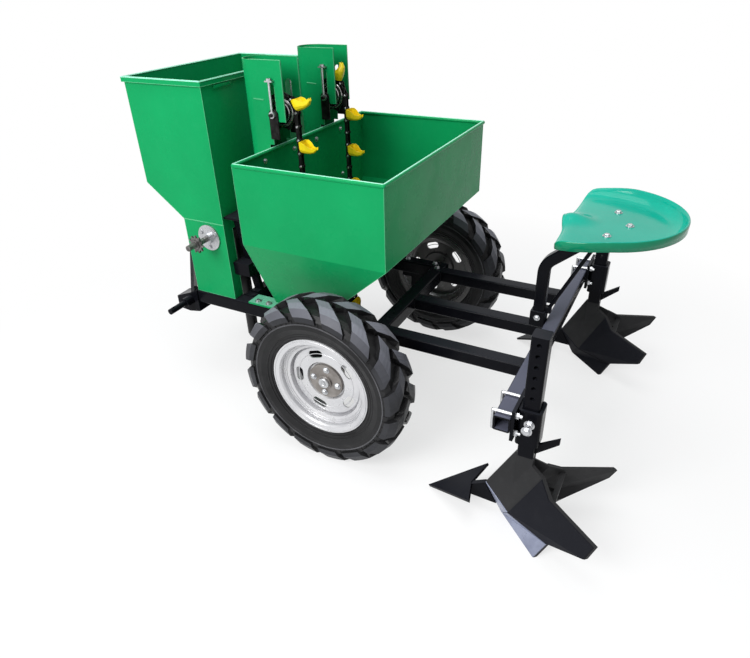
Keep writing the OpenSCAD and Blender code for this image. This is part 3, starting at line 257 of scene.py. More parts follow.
def bright_zinc(name, colour, gloss):
    """Zinc plating: bright metal with a faint crystal pattern and dull patches."""
    material, tree, shader, where = new_finish(name)
    crystal = tree.nodes.new("ShaderNodeTexVoronoi")
    crystal.inputs["Scale"].default_value = 130.0
    tree.links.new(where, crystal.inputs["Vector"])
    tone = between(tree, crystal.outputs["Distance"], 0.0, 1.0, 0.0, 0.8)
    plate = blend_colour(tree, tone, scaled(colour, 0.8), colour)
    dull = between(tree, cloud(tree, where, 22.0, 4.0), 0.0, 0.5, 0.48, 0.75)
    tree.links.new(blend_colour(tree, dull, plate, scaled(colour, 0.45)), shader.inputs["Base Color"])
    sheen(tree, shader, where, 60.0, 4.0, gloss - 0.08, gloss + 0.12)
    shader.inputs["Metallic"].default_value = 0.9
    roughen(tree, shader, where, 500.0, 2.0, 0.0001)
    return material


zinc_plate = bright_zinc("zinc_plate", (0.56, 0.57, 0.59), 0.3)


def sized(tree, source, factor):
    """A number input times a fixed factor."""
    node = tree.nodes.new("ShaderNodeMath")
    node.operation = "MULTIPLY"
    node.inputs[1].default_value = factor
    tree.links.new(source, node.inputs[0])
    return node.outputs[0]


def raised(tree, mesh, height):
    """A mesh lifted along its own axis."""
    node = tree.nodes.new("GeometryNodeTransform")
    lift = tree.nodes.new("ShaderNodeCombineXYZ")
    wire(tree, (height, lift.inputs["Z"]), (mesh, node.inputs["Geometry"]),
         (lift.outputs[0], node.inputs["Translation"]))
    return node.outputs[0]


def stand_on_points(tree, given, result, thing):
    """Stands a thing on each point of the given mesh, along the point's own axis, and ends the tree."""
    axis = tree.nodes.new("GeometryNodeInputNamedAttribute")
    axis.data_type = "FLOAT_VECTOR"
    axis.inputs["Name"].default_value = "axis"
    turn = tree.nodes.new("FunctionNodeAlignRotationToVector")
    turn.axis = "Z"
    stand = tree.nodes.new("GeometryNodeInstanceOnPoints")
    wire(tree, (axis.outputs["Attribute"], turn.inputs["Vector"]),
         (given.outputs["Geometry"], stand.inputs["Points"]),
         (turn.outputs["Rotation"], stand.inputs["Rotation"]), (thing, stand.inputs["Instance"]))
    close_tree(tree, given, result, stand.outputs["Instances"])


bolt_tree, given, result = new_tree("hex_bolt", ("Head", "Height", "Washer"))
across, tall = given.outputs["Head"], given.outputs["Height"]
head, chamfer, washer = [bolt_tree.nodes.new("GeometryNodeMeshCone") for _ in range(3)]
for cone, corners in ((head, 6), (chamfer, 6), (washer, 20)):
    cone.inputs["Vertices"].default_value = corners
for socket in ("Radius Top", "Radius Bottom"):
    bolt_tree.links.new(across, head.inputs[socket])
    bolt_tree.links.new(given.outputs["Washer"], washer.inputs[socket])
wire(bolt_tree, (tall, head.inputs["Depth"]), (across, chamfer.inputs["Radius Bottom"]),
     (sized(bolt_tree, across, 0.78), chamfer.inputs["Radius Top"]),
     (sized(bolt_tree, tall, 0.18), chamfer.inputs["Depth"]),
     (sized(bolt_tree, tall, 0.3), washer.inputs["Depth"]))
join = bolt_tree.nodes.new("GeometryNodeJoinGeometry")
for part in (raised(bolt_tree, chamfer.outputs["Mesh"], tall), head.outputs["Mesh"], washer.outputs["Mesh"]):
    bolt_tree.links.new(part, join.inputs[0])
stand_on_points(bolt_tree, given, result, join.outputs[0])


def points_with_axes(name, places):
    """A mesh of bare points, each with the way it looks."""
    mesh = bpy.data.meshes.new(name)
    mesh.from_pydata([point for point, _ in places], [], [])
    mesh.attributes.new("axis", "FLOAT_VECTOR", "POINT")
    for entry, (_, way) in zip(mesh.attributes["axis"].data, places):
        entry.vector = way
    return mesh


def bolts(name, places, head_radius, body):
    """Hex bolts at places, each a point on a face and the way the head looks."""
    numbers = {"Head": head_radius, "Height": head_radius * 0.75, "Washer": head_radius * 1.35}
    grow(name, points_with_axes(name, places), bolt_tree, numbers, zinc_plate, body)


up = (0.0, 0.0, 1.0)
foot_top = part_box("hopper_feet")[1][2]
foot_bolts, foot_bolt_y = (0.397, 0.352), 0.284
bearing_bolts, bearing_bolt_y = (-0.045, 0.071), 0.276
bar_bolt = -0.067
frame_bolts = []
for s in (1, -1):
    frame_bolts += [((x, s * foot_bolt_y, foot_top), up) for x in foot_bolts]
    frame_bolts.append(((bar_bolt, s * bar_row, rail_high[2]), up))
    frame_bolts += [((x, s * bearing_bolt_y, rail_high[2]), up) for x in bearing_bolts]
bolts("frame_bolts", frame_bolts, 0.0085, "planter")

# Ground wheels: black rubber tyres with moulded lugs, on pressed steel rims. Rings and short ribs are
# moulded into the side walls, and the ring at the shoulder is rubbed pale.
wheel_low, wheel_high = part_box("tyre_left")
wheel_x, wheel_y, wheel_z = [(a + b) / 2 for a, b in zip(wheel_low, wheel_high)]


def tyre_rubber(name, dark, pale, dust_and_highlight_tone=None):
    """Black rubber with a fine moulded grain, dust in patches, and an optional painted highlight on its tops.
    """
    material, tree, shader, where = new_finish(name)
    patch = between(tree, cloud(tree, where, 12.0, 6.0), 0.0, 1.0)
    surface = blend_colour(tree, patch, dark, pale)
    if dust_and_highlight_tone:
        surface = lay_dust_and_highlight(tree, surface, dust_and_highlight_tone, 0.85, 0.12)
    dust = between(tree, cloud(tree, where, 30.0, 6.0), 0.0, 0.18, 0.54, 0.8)
    tree.links.new(blend_colour(tree, dust, surface, (0.045, 0.045, 0.047)), shader.inputs["Base Color"])
    sheen(tree, shader, where, 18.0, 4.0, 0.3, 0.5)
    shader.inputs["Specular IOR Level"].default_value = 0.2
    roughen(tree, shader, where, 420.0, 3.0, 0.0004)
    return material


rubber = tyre_rubber("tyre_rubber", (0.0055, 0.0055, 0.006), (0.013, 0.013, 0.014))
finish_nodes(rubber, "tyre_left", "tyre_right")


def add_piece(name, form, material, body, smooth=True):
    """Makes a piece from a finished bmesh, with its normals outward."""
    bmesh.ops.recalc_face_normals(form, faces=form.faces)
    mesh = bpy.data.meshes.new(name)
    form.to_mesh(mesh)
    form.free()
    for face in mesh.polygons:
        face.use_smooth = smooth
    mesh.materials.append(material)
    piece = placed(name, mesh)
    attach(piece, body)
    return piece


def ring_faces(form, here, ahead):
    """Four-sided faces between two closed rings of as many points, in the order of the points."""
    quads = zip(here, here[1:] + here[:1], ahead[1:] + ahead[:1], ahead)
    return [form.faces.new(corners) for corners in quads]


def turned(name, centre, outlines, steps, material, body, smooth=True):
    """Rings turned about an axis along Y, each from a closed outline of radius and place across."""
    form = bmesh.new()
    for outline in outlines:
        rings = []
        for i in range(steps):
            a = 2 * math.pi * i / steps
            rings.append([form.verts.new((centre[0] + r * math.cos(a), y, centre[1] + r * math.sin(a)))
                          for r, y in outline])
        for i in range(steps):
            ring_faces(form, rings[i], rings[(i + 1) % steps])
    add_piece(name, form, material, body, smooth)


def side_wall(radius, name="tyre_left"):
    """How far a wheel piece's outer side stands from the wheel's middle at a radius, between its lugs."""
    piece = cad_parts[name]
    back = piece.matrix_world.inverted()
    inward = (back.to_3x3() @ Vector((0.0, -1.0, 0.0))).normalized()
    found = []
    for i in range(90):
        a = math.radians(4 * i)
        start = Vector((wheel_x + radius * math.cos(a), wheel_y + 0.3, wheel_z + radius * math.sin(a)))
        hit, place, _, _ = piece.ray_cast(back @ start, inward)
        if hit:
            found.append((piece.matrix_world @ place).y - wheel_y)
    return sorted(found)[len(found) // 8]


def bead(radius, size, s, out, face=1, flat=1.0):
    """Outline of a rounded bead on one side of a wheel, at a radius and a distance from its middle."""
    corners = []
    for k in range(6):
        a = k * math.pi / 3
        across = s * (wheel_y + face * (out + flat * size * math.sin(a)))
        corners.append((radius + size * math.cos(a), across))
    return corners


def mould_rings(name, sizes, material):
    """Half-round rings on both sides of both tyres, each at a radius and with a size."""
    outlines = [bead(radius, size, s, side_wall(radius), face, 0.6)
                for radius, size in sizes for s in (1, -1) for face in (1, -1)]
    turned(name, (wheel_x, wheel_z), outlines, 96, material, "wheelset")


mould_rings("sidewall_rings", ((0.183, 0.0032), (0.192, 0.0022)), rubber)
rubbed = tyre_rubber("rubbed_rubber", (0.03, 0.03, 0.033), (0.09, 0.09, 0.097))
mould_rings("shoulder_rings", ((0.2285, 0.0026),), rubbed)

rib_in, rib_out, rib_half, rib_count = 0.231, 0.243, 0.002, 64
rib_root, rib_rise = 0.003, 0.0015
rib_ends = [(radius, side_wall(radius)) for radius in (rib_in, rib_out)]
form = bmesh.new()
for s in (1, -1):
    hub = Vector((wheel_x, s * wheel_y, wheel_z))
    for i in range(rib_count):
        a = 2 * math.pi * i / rib_count
        along = Vector((math.cos(a), 0.0, math.sin(a)))
        beside = Vector((-math.sin(a), 0.0, math.cos(a)))
        foot = []
        crest = []
        for radius, out in rib_ends:
            for half in (-rib_half, rib_half):
                base = hub + along * radius + beside * half
                top = base - beside * half * 0.4 + Vector((0.0, s * (out + rib_rise), 0.0))
                foot.append(form.verts.new(base + Vector((0.0, s * (out - rib_root), 0.0))))
                crest.append(form.verts.new(top))
        form.faces.new((crest[0], crest[1], crest[3], crest[2]))
        form.faces.new((foot[0], foot[1], foot[3], foot[2]))
        for p, q in ((0, 1), (1, 3), (3, 2), (2, 0)):
            form.faces.new((foot[p], foot[q], crest[q], crest[p]))
add_piece("sidewall_ribs", form, rubber, "wheelset", False)

# Tread lugs: thick rubber bars moulded on the carcass, slanting back from the middle of the tread and
# turning down over the shoulder. Their tops are rubbed and dusty, and a painted highlight pales those facing
# up.
lug_count, lug_lean, lug_skirt, lug_deep = 16, math.tan(math.radians(48)), 0.0035, 0.019
tread_r, shoulder_r = 0.285, 0.2113
shoulder_drop = tread_r - shoulder_r
lug_line = [(tread_r, 0.004), (tread_r, 0.0336), (tread_r - 0.1 * shoulder_drop, 0.0574),
            (tread_r - 0.4 * shoulder_drop, 0.0688), (tread_r - 0.62 * shoulder_drop, 0.0696)]
lug_drop = [(-1.0, 0.0), (-1.0, 0.0), (-0.8, -0.6), (-0.25, -1.0), (-0.1, -1.0)]
lug_widths = [0.0155, 0.0175, 0.0225, 0.0245, 0.0225]
lug_lift = 0.0009
lug_section = [(-1.0, lug_deep), (-1.0, -lug_lift), (-0.5, -lug_lift), (0.0, -lug_lift), (0.5, -lug_lift),
               (1.0, -lug_lift), (1.0, lug_deep)]
form = bmesh.new()
for s in (1, -1):
    for half_turn in (0, 1):
        out_way = 1 - 2 * half_turn
        for i in range(lug_count):
            start = (i + half_turn / 2) * 2 * math.pi / lug_count
            rows = []
            for (r, a), (down, inward), lug_half in zip(lug_line, lug_drop, lug_widths):
                row = []
                for share, depth in lug_section:
                    across = share * lug_half + (0.0 if depth < 0 else math.copysign(lug_skirt, share))
                    beside = -a * lug_lean + across / math.cos(math.atan(lug_lean))
                    radius = r + down * depth
                    turn_by = start + beside / r
                    place_y = s * (wheel_y + out_way * (a + inward * depth))
                    place_z = max(wheel_z - radius * math.sin(turn_by), 0.0)
                    row.append(form.verts.new((wheel_x + radius * math.cos(turn_by), place_y, place_z)))
                rows.append(row)
            for here, ahead in zip(rows, rows[1:]):
                for k, face in enumerate(ring_faces(form, here, ahead)):
                    face.material_index = 1 if 0 < k < len(lug_section) - 2 else 0
            form.faces.new(rows[0])
            form.faces.new(rows[-1])
lugs = add_piece("tread_lugs", form, rubber, "wheelset", False)
# The lug tops are rubbed a little paler, and a painted highlight lightens the tops that face up much more.
lug_tops_wear_and_highlight = tyre_rubber("lug_tops_wear_and_highlight", (0.012, 0.0125, 0.0145), (0.028, 0.029, 0.034), (0.19, 0.195, 0.23))
lugs.data.materials.append(lug_tops_wear_and_highlight)

# Rims: discs pressed from sheet steel with long windows, welded into rolled hoops and sprayed silver.
# Beads are pressed round the disc and the hoop. A painted shade darkens the inner side nearly to black.


def silver_paint():
    """Silver aluminium lacquer over pressed steel, with grey soil in patches and a painted shade on its inner
    side.
    """
    material, tree, shader, where = new_finish("rim_paint")
    patch = between(tree, cloud(tree, where, 9.0, 5.0), 0.0, 1.0)
    lacquer = blend_colour(tree, patch, (0.47, 0.47, 0.485), (0.64, 0.64, 0.655))
    soil = between(tree, cloud(tree, where, 9.0, 4.0), 0.0, 0.3, 0.5, 0.8)
    stained = blend_colour(tree, soil, lacquer, (0.28, 0.27, 0.25))
    # Painted shade: faces that look towards the machine's middle are darkened nearly to black.
    outward = tree.nodes.new("ShaderNodeVectorMath")
    outward.operation = "MULTIPLY"
    tree.links.new(tree.nodes.new("ShaderNodeNewGeometry").outputs["Normal"], outward.inputs[0])
    tree.links.new(where, outward.inputs[1])
    parts = tree.nodes.new("ShaderNodeSeparateXYZ")
    tree.links.new(outward.outputs[0], parts.inputs[0])
    inner = between(tree, parts.outputs["Y"], 0.9, 0.0, -0.15, -0.03)
    tree.links.new(blend_colour(tree, inner, stained, (0.03, 0.028, 0.026)), shader.inputs["Base Color"])
    sheen(tree, shader, where, 40.0, 4.0, 0.25, 0.46)
    shader.inputs["Metallic"].default_value = 0.55
    roughen(tree, shader, where, 260.0, 3.0, 0.0002)
    return material


rim_paint = silver_paint()
finish_nodes(rim_paint, "rim_left", "rim_right")
bead_outlines = []
for radius, size in ((0.1655, 0.0016), (0.1445, 0.0018), (0.1385, 0.0018), (0.100, 0.0014)):
    out = side_wall(radius, "rim_left")
    bead_outlines += [bead(radius, size, s, out) for s in (1, -1)]
turned("rim_beads", (wheel_x, wheel_z), bead_outlines, 72, rim_paint, "wheelset")

# Hubs are cast plates on the ends of the axle, grey-brown from a rust-stopping primer.
# Four studs with nuts hold the rim, and a turned collar closes the axle's end round its centre hole.


def clouded(name, dark, pale, patch, gloss, relief, metal=0.0, shine=0.5):
    """Two tones in soft patches, with uneven gloss and a fine relief."""
    material, tree, shader, where = new_finish(name)
    tone = between(tree, cloud(tree, where, *patch), 0.0, 1.0)
    tree.links.new(blend_colour(tree, tone, dark, pale), shader.inputs["Base Color"])
    sheen(tree, shader, where, *gloss)
    shader.inputs["Metallic"].default_value = metal
    shader.inputs["Specular IOR Level"].default_value = shine
    roughen(tree, shader, where, *relief)
    return material


def bolt_circle(centre_x, centre_z, radius, face, angles):
    """Places for bolts on a circle about an axis along Y, on both sides of the machine."""
    return [((centre_x + radius * math.cos(a), s * face, centre_z + radius * math.sin(a)), (0.0, s, 0.0))
            for s in (1, -1) for a in angles]


hub_primer = clouded("hub_primer", (0.13, 0.115, 0.105), (0.27, 0.25, 0.235), (24.0, 6.0),
                     (50.0, 3.0, 0.36, 0.6), (240.0, 4.0, 0.0005), 0.35)
finish_nodes(hub_primer, "hub_left", "hub_right")
finish_nodes(zinc_plate, "axle")
hub_face, stud_circle = wheel_y + 0.014, 0.044
stud_angles = [math.radians(8 + 90 * k) for k in range(4)]
bolts("wheel_nuts", bolt_circle(wheel_x, wheel_z, stud_circle, hub_face, stud_angles), 0.0082, "wheelset")
axle_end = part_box("axle")[1][1]
collar = [(0.0062, -0.002), (0.0062, 0.0012), (0.0145, 0.0012), (0.0172, -0.0008), (0.0172, -0.002)]
collar_outlines = [[(r, s * (axle_end + out)) for r, out in collar] for s in (1, -1)]
turned("axle_collars", (wheel_x, wheel_z), collar_outlines, 32, zinc_plate, "wheelset")

# Fertiliser hopper of folded sheet steel on two folded legs, sprayed green inside and out like the potato
# hopper and the seed columns. The legs are welded under its slope, and a flat catch strip is welded to its
# rear wall. Lighter green beads along the folds, welds and rims are a painted highlight.
green, green_dust = (0.004, 0.262, 0.082), (0.02, 0.29, 0.11)
green_enamel = enamel("green_enamel", green, 0.24, green_dust, 0.07)
green_sheets = ("fertiliser_hopper", "potato_hopper", "seed_column_left", "seed_column_right")
finish_nodes(green_enamel, *green_sheets)
# Painted highlight: the legs' upward faces are lightened to a pale green.
foot_highlight_enamel = enamel("foot_highlight_enamel", green, 0.24, green_dust, 0.07, 0.0, (0.16, 0.50, 0.34))
finish_nodes(foot_highlight_enamel, "hopper_feet")
fert_rear, leg_front, leg_side, leg_top = 0.493, 0.666, 0.2955, 0.669
green_lines = [((fert_rear, s * leg_side, leg_top), (leg_front, s * leg_side, leg_top)) for s in (1, -1)]
column_sides = (0.1955, -0.1025, 0.1025, -0.1955)
seam_rear, seam_front, seam_low, seam_high = 0.340, 0.374, 1.064, 1.066
green_lines += [((seam_rear, y, seam_low), (seam_front, y, seam_high)) for y in column_sides]
# Painted highlight: weld and fold beads take a lighter green than the sheet, standing for the light along
# them.
fold_highlight_paint = enamel("fold_highlight_paint", (0.075, 0.40, 0.19), 0.2, (0.12, 0.5, 0.27), 0.3)
seams("hopper_welds", green_lines, 0.0022, fold_highlight_paint, "planter")


def slab_between(form, low, high, edge):
    """A flat bar between two corners with its outer edges chamfered."""
    made = bmesh.ops.create_cube(form, size=1.0)
    for vert in made["verts"]:
        vert.co = Vector([low[i] if vert.co[i] < 0 else high[i] for i in range(3)])
    edges = list({e for vert in made["verts"] for e in vert.link_edges})
    bmesh.ops.bevel(form, geom=edges, offset=edge, segments=2, profile=0.5, affect="EDGES")


edge_tree, given, result = new_tree("fold_edge", ("Radius",))
line = edge_tree.nodes.new("GeometryNodeMeshToCurve")
round_bar = edge_tree.nodes.new("GeometryNodeCurvePrimitiveCircle")
round_bar.inputs["Resolution"].default_value = 6
sweep = edge_tree.nodes.new("GeometryNodeCurveToMesh")
sweep.inputs["Fill Caps"].default_value = True
wire(edge_tree, (given.outputs["Geometry"], line.inputs["Mesh"]),
     (line.outputs["Curve"], sweep.inputs["Curve"]), (given.outputs["Radius"], round_bar.inputs["Radius"]),
     (round_bar.outputs["Curve"], sweep.inputs["Profile Curve"]))
close_tree(edge_tree, given, result, sweep.outputs["Mesh"])


def fold_lines(shortest, *names):
    """The long outer edges of sheet-metal pieces, as pairs of end points."""
    lines = []
    fold_from = 0.5
    for name in names:
        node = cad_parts[name]
        sheet = bmesh.new()
        sheet.from_mesh(node.data)
        bmesh.ops.remove_doubles(sheet, verts=sheet.verts, dist=0.00001)
        for edge in sheet.edges:
            if len(edge.link_faces) != 2 or edge.calc_length() <= shortest:
                continue
            if edge.calc_face_angle_signed() > fold_from:
                lines.append([node.matrix_world @ vert.co for vert in edge.verts])
        sheet.free()
    return lines


def highlight_beads(name, lines, radius, material):
    """Round beads along the folds and cut edges of sheet, in a lighter paint that is a painted highlight."""
    grow(name, line_mesh(name, lines), edge_tree, {"Radius": radius}, material, "planter")


highlight_beads("hopper_fold_highlights", fold_lines(0.05, *green_sheets), 0.0009, fold_highlight_paint)

# Painted highlight: pale mint beads along the tops of the rims stand for the light along them.
rim_highlight_paint = enamel("rim_highlight_paint", (0.30, 0.72, 0.53), 0.2, (0.36, 0.78, 0.6), 0.3)
rim_roll, rim_sink, above_walls = 0.006, 0.003, 1.12
pot_low, pot_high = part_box("potato_hopper")
rim_rear, rim_front, rim_side = pot_low[0] + rim_roll, pot_high[0] - rim_roll, pot_high[1] - rim_roll
rim_top = pot_high[2] - rim_sink
roll_lines = [((rim_rear, y, rim_top), (rim_front, y, rim_top)) for y in (rim_side, -rim_side)]
roll_lines += [((x, -rim_side, rim_top), (x, rim_side, rim_top)) for x in (rim_rear, rim_front)]
highlight_beads("potato_rim_highlights", roll_lines, 0.0039, rim_highlight_paint)
top_lines = [line for line in fold_lines(0.1, "fertiliser_hopper")
             if min(point.z for point in line) > above_walls]
highlight_beads("fertiliser_rim_highlights", top_lines, 0.0014, rim_highlight_paint)

form = bmesh.new()
strip_low, strip_high = (fert_rear - 0.006, 0.160, 1.096), (fert_rear + 0.001, 0.240, 1.107)
slab_between(form, strip_low, strip_high, 0.0015)
add_piece("catch_strip", form, green_enamel, "planter")

# Feed shaft of bright steel in pressed flange bearings, with a small chain sprocket on its left end.
# Black plastic housings under the floor meter the fertiliser into the drop tubes.
finish_nodes(zinc_plate, "feed_bearings")


def oiled_steel(name, colour, gloss):
    """Dark oiled steel, bright where it runs and dull with grease between."""
    return clouded(name, scaled(colour, 0.35), scaled(colour, 1.6), (55.0, 5.0),
                   (80.0, 3.0, gloss - 0.08, gloss + 0.14), (320.0, 3.0, 0.0003), 0.6, 0.06)


finish_nodes(oiled_steel("feed_steel", (0.16, 0.155, 0.15), 0.34), "feed_shaft", "feed_sprocket")
feed_low, feed_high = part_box("feed_bearings")
feed_x = (feed_low[0] + feed_high[0]) / 2
feed_z = (feed_low[2] + feed_high[2]) / 2
flange_face, flange_circle = 0.301, 0.034
flange_angles = [math.pi / 6 + k * 2 * math.pi / 3 for k in range(3)]
flange_bolts = bolt_circle(feed_x, feed_z, flange_circle, flange_face, flange_angles)
bolts("flange_bolts", flange_bolts, 0.0062, "planter")


def moulded(name, colour, gloss):
    """Moulded plastic: even colour with faint flow marks and a soft sheen."""
    return clouded(name, scaled(colour, 0.86), colour, (16.0, 3.0),
                   (45.0, 3.0, gloss - 0.05, gloss + 0.1), (350.0, 2.0, 0.0001), 0.0, 0.25)


finish_nodes(moulded("drop_plastic", (0.008, 0.008, 0.009), 0.4), "feed_drops")

# Potato hopper of folded sheet with a rolled rim. Bolts through its front wall hold the seed columns,
# and their heads show inside near the rim.
wall_inside, upper_row, lower_row = 0.330, 0.888, 0.720
rim_bolts = [((wall_inside, y, z), (-1.0, 0.0, 0.0))
             for y in (-0.229, -0.064, 0.072, 0.235) for z in (upper_row, lower_row)]
bolts("hopper_bolts", rim_bolts, 0.0065, "planter")

# Seed elevators: roller chains over steel sprockets lift the potatoes in yellow moulded cups, over
# the top and down the seed columns. Zinc eye bolts tension the top shafts, and the chain's pins shine.
finish_nodes(zinc_plate, "tensioner_left", "tensioner_right")
chain_steel = oiled_steel("chain_steel", (0.016, 0.0155, 0.0155), 0.4)
finish_nodes(chain_steel, "cup_chain_left", "cup_chain_right", "top_sprocket_left", "top_sprocket_right",
             "lower_shaft")

pin_tree, given, result = new_tree("chain_pin", ("Radius", "Length"))
pin = pin_tree.nodes.new("GeometryNodeMeshCone")
pin.inputs["Vertices"].default_value = 10
wire(pin_tree, (given.outputs["Radius"], pin.inputs["Radius Bottom"]),
     (sized(pin_tree, given.outputs["Radius"], 0.7), pin.inputs["Radius Top"]),
     (given.outputs["Length"], pin.inputs["Depth"]))
stand_on_points(pin_tree, given, result, pin.outputs["Mesh"])

row_y = 0.149
spr_x, spr_top, spr_low = 0.305, 1.023, 0.2571
pitch_r, link_pitch, plate_out = 0.05409, 0.0414, 0.009
over_top = [math.radians(45 * k) for k in range(5)]
round_low = [math.radians(45 * k + 22.5) for k in range(4)]
pin_joints = [(spr_x - pitch_r * math.cos(a), spr_top + pitch_r * math.sin(a)) for a in over_top]
pin_joints += [(spr_x + pitch_r, spr_top - k * link_pitch) for k in range(1, 19)]
pin_joints += [(spr_x + pitch_r * math.cos(a), spr_low - pitch_r * math.sin(a)) for a in round_low]
pin_joints += [(spr_x - pitch_r, spr_top - k * link_pitch) for k in range(18, 0, -1)]
pin_places = []
for x, z in pin_joints:
    for row in (row_y, -row_y):
        for s in (1, -1):
            pin_places.append(((x, row + s * plate_out, z), (0.0, s, 0.0)))
grow("chain_pins", points_with_axes("chain_pins", pin_places), pin_tree, {"Radius": 0.0042, "Length": 0.0022},
     zinc_plate, "planter")

polished = bright_zinc("polished_ring", (0.55, 0.53, 0.53), 0.22)
ring_root, ring_edge = 0.003, 0.0015
ring_outlines = []
for row in (row_y, -row_y):
    for s in (1, -1):
        for inner, outer, out in ((0.026, 0.032, 0.011), (0.0365, 0.0445, 0.009)):
            corners = [(inner, ring_root), (inner, out - ring_edge), (inner + ring_edge, out),
                       (outer - ring_edge, out), (outer, out - ring_edge), (outer, ring_root)]
            ring_outlines.append([(r, row + s * across) for r, across in corners])
turned("sprocket_rings", (spr_x, spr_top), ring_outlines, 40, polished, "planter", False)

# Cups moulded from yellow plastic, one on every third link. Each is a scoop with a high back on the link,
# sides that fall to a narrow beak, and a thin even wall.
cup_plastic = moulded("cup_plastic", (0.88, 0.68, 0.014), 0.3)
cup_wall = 0.0022
cup_stations = [(0.0085, 0.020, 0.019, -0.018), (0.020, 0.022, 0.0185, -0.019),
                (0.031, 0.0205, 0.012, -0.019), (0.041, 0.016, 0.002, -0.0185),
                (0.053, 0.0105, -0.001, -0.0155), (0.0635, 0.0065, 0.0035, -0.0065)]
cup_steps = 8


def scoop(form, middle, outward, run, row):
    """One cup: rings of a U-shaped section from the back to the beak, an inner and an outer skin."""
    skins = []
    for shrink in (0.0, cup_wall):
        skin = []
        for number, (out, half, top, bottom) in enumerate(cup_stations):
            behind = out + (shrink if number == 0 else 0.0)
            wide = max(half - shrink, 0.0008)
            deep = max(top - bottom - shrink, 0.001)
            ring = []
            for k in range(cup_steps + 1):
                a = math.pi * k / cup_steps
                flat = middle + outward * behind + run * (top - deep * math.sin(a) ** 0.5)
                ring.append(form.verts.new((flat.x, row + wide * math.cos(a), flat.y)))
            skin.append(ring)
        skins.append(skin)
    for skin in skins:
        for here, ahead in zip(skin, skin[1:]):
            for k in range(cup_steps):
                form.faces.new((here[k], here[k + 1], ahead[k + 1], ahead[k]))
        form.faces.new(skin[0])
    outer, inner = skins
    for edge in (0, cup_steps):
        for i in range(len(cup_stations) - 1):
            form.faces.new((outer[i][edge], outer[i + 1][edge], inner[i + 1][edge], inner[i][edge]))
    form.faces.new((outer[0][0], inner[0][0], inner[0][cup_steps], outer[0][cup_steps]))
    for k in range(cup_steps):
        form.faces.new((outer[-1][k], outer[-1][k + 1], inner[-1][k + 1], inner[-1][k]))


for side, row, first in (("left", row_y, 0), ("right", -row_y, 1)):
    form = bmesh.new()
    for i in range(first, len(pin_joints), 3):
        here = Vector(pin_joints[i])
        ahead = Vector(pin_joints[(i + 1) % len(pin_joints)])
        run = (ahead - here).normalized()
        scoop(form, (here + ahead) / 2, Vector((-run.y, run.x)), run, row)
    cups = add_piece("cup_scoops_" + side, form, cup_plastic, "planter", False)
    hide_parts("cups_" + side)

# Furrow openers of welded plate, black enamel like the frame.
# They run in the soil under the columns, and the lower chain shaft turns in their sides.
finish_nodes(black_enamel, "opener_left", "opener_right")

# Ridgers: shanks in clamped sleeves, and bodies folded from flat plate under black enamel. Wing plates
# lie on the breast, and share plates run along the ground: blue-grey steel rubbed bare on the left
# ridger, and the same black as the wings on the right ridger.
finish_nodes(black_enamel, "ridger_sleeve_left", "ridger_sleeve_right", "ridger_shank_left",
             "ridger_shank_right")
finish_nodes(zinc_plate, "u_bolts")
breast_paint = enamel("breast_paint", (0.026, 0.026, 0.027), 0.5, (0.06, 0.06, 0.06), 0.08)
finish_nodes(breast_paint, "ridger_body_left", "ridger_body_right")
finish_nodes(black_enamel, "ridger_point_left", "ridger_point_right")
share_steel = clouded("share_steel", (0.15, 0.165, 0.24), (0.34, 0.37, 0.48), (9.0, 6.0),
                      (30.0, 4.0, 0.26, 0.5), (180.0, 4.0, 0.0003), 0.55)
ridge_y = 0.4775
body_front, wing_long, wing_wide, body_high = -0.531, 0.328, 0.162, 0.258
corner_table = {
    "nose": (0.00, 0.00, 0.40), "keel": (0.18, 0.00, 0.00), "fold_low": (0.25, 0.23, 0.19),
    "fold_top": (0.49, 0.19, 0.82), "share_tip": (0.56, 0.72, 0.00), "share_rear": (0.64, 0.61, 0.19),
    "wing_low": (0.95, 1.00, 0.45), "wing_high": (1.00, 0.95, 0.62), "wing_root": (0.59, 0.42, 0.70)}
plate_root = 0.002


def body_corner(name, side, row):
    """A corner of a ridger body, from its shares of the body's length, width and height."""
    back, out, high = corner_table[name]
    return Vector((body_front - back * wing_long, row * ridge_y + side * out * wing_wide, high * body_high))


def overlay(form, names, side, row, lift, inset):
    """A thin plate on the body over a run of corners, drawn in from their edges."""
    points = [body_corner(name, side, row) for name in names]
    middle = sum(points, Vector()) / len(points)
    normal = Vector()
    for i in range(len(points)):
        normal += (points[i] - middle).cross(points[(i + 1) % len(points)] - middle)
    normal.normalize()
    looks_out = normal.x if abs(normal.x) > 0.2 else normal.y * side
    if looks_out < 0:
        normal = -normal
    drawn = [point + (middle - point).normalized() * inset for point in points]
    upper = [form.verts.new(point + normal * lift) for point in drawn]
    lower = [form.verts.new(point - normal * plate_root) for point in points]
    for i in range(1, len(points) - 1):
        form.faces.new((upper[0], upper[i], upper[i + 1]))
        form.faces.new((lower[0], lower[i], lower[i + 1]))
    for i in range(len(points)):
        n = (i + 1) % len(points)
        form.faces.new((lower[i], lower[n], upper[n], upper[i]))


wing_form = bmesh.new()
share_form = bmesh.new()
for row in (1, -1):
    for side in (1, -1):
        overlay(wing_form, ("fold_low", "fold_top", "wing_root", "wing_high", "wing_low", "share_rear"),
                side, row, 0.004, 0.003)
        overlay(share_form, ("keel", "fold_low", "share_rear", "share_tip"), side, row, 0.003, 0.002)
        overlay(share_form, ("nose", "fold_low", "keel"), side, row, 0.003, 0.002)
wing_paint = enamel("wing_paint", (0.010, 0.0105, 0.014), 0.5, (0.024, 0.024, 0.028), 0.06)
add_piece("ridger_wings", wing_form, wing_paint, "planter", False)
# The share faces of the right ridger take the black wing paint.
for face in share_form.faces:
    face.material_index = 1 if face.calc_center_median().y < 0 else 0
shares = add_piece("ridger_shares", share_form, share_steel, "planter", False)
shares.data.materials.append(wing_paint)

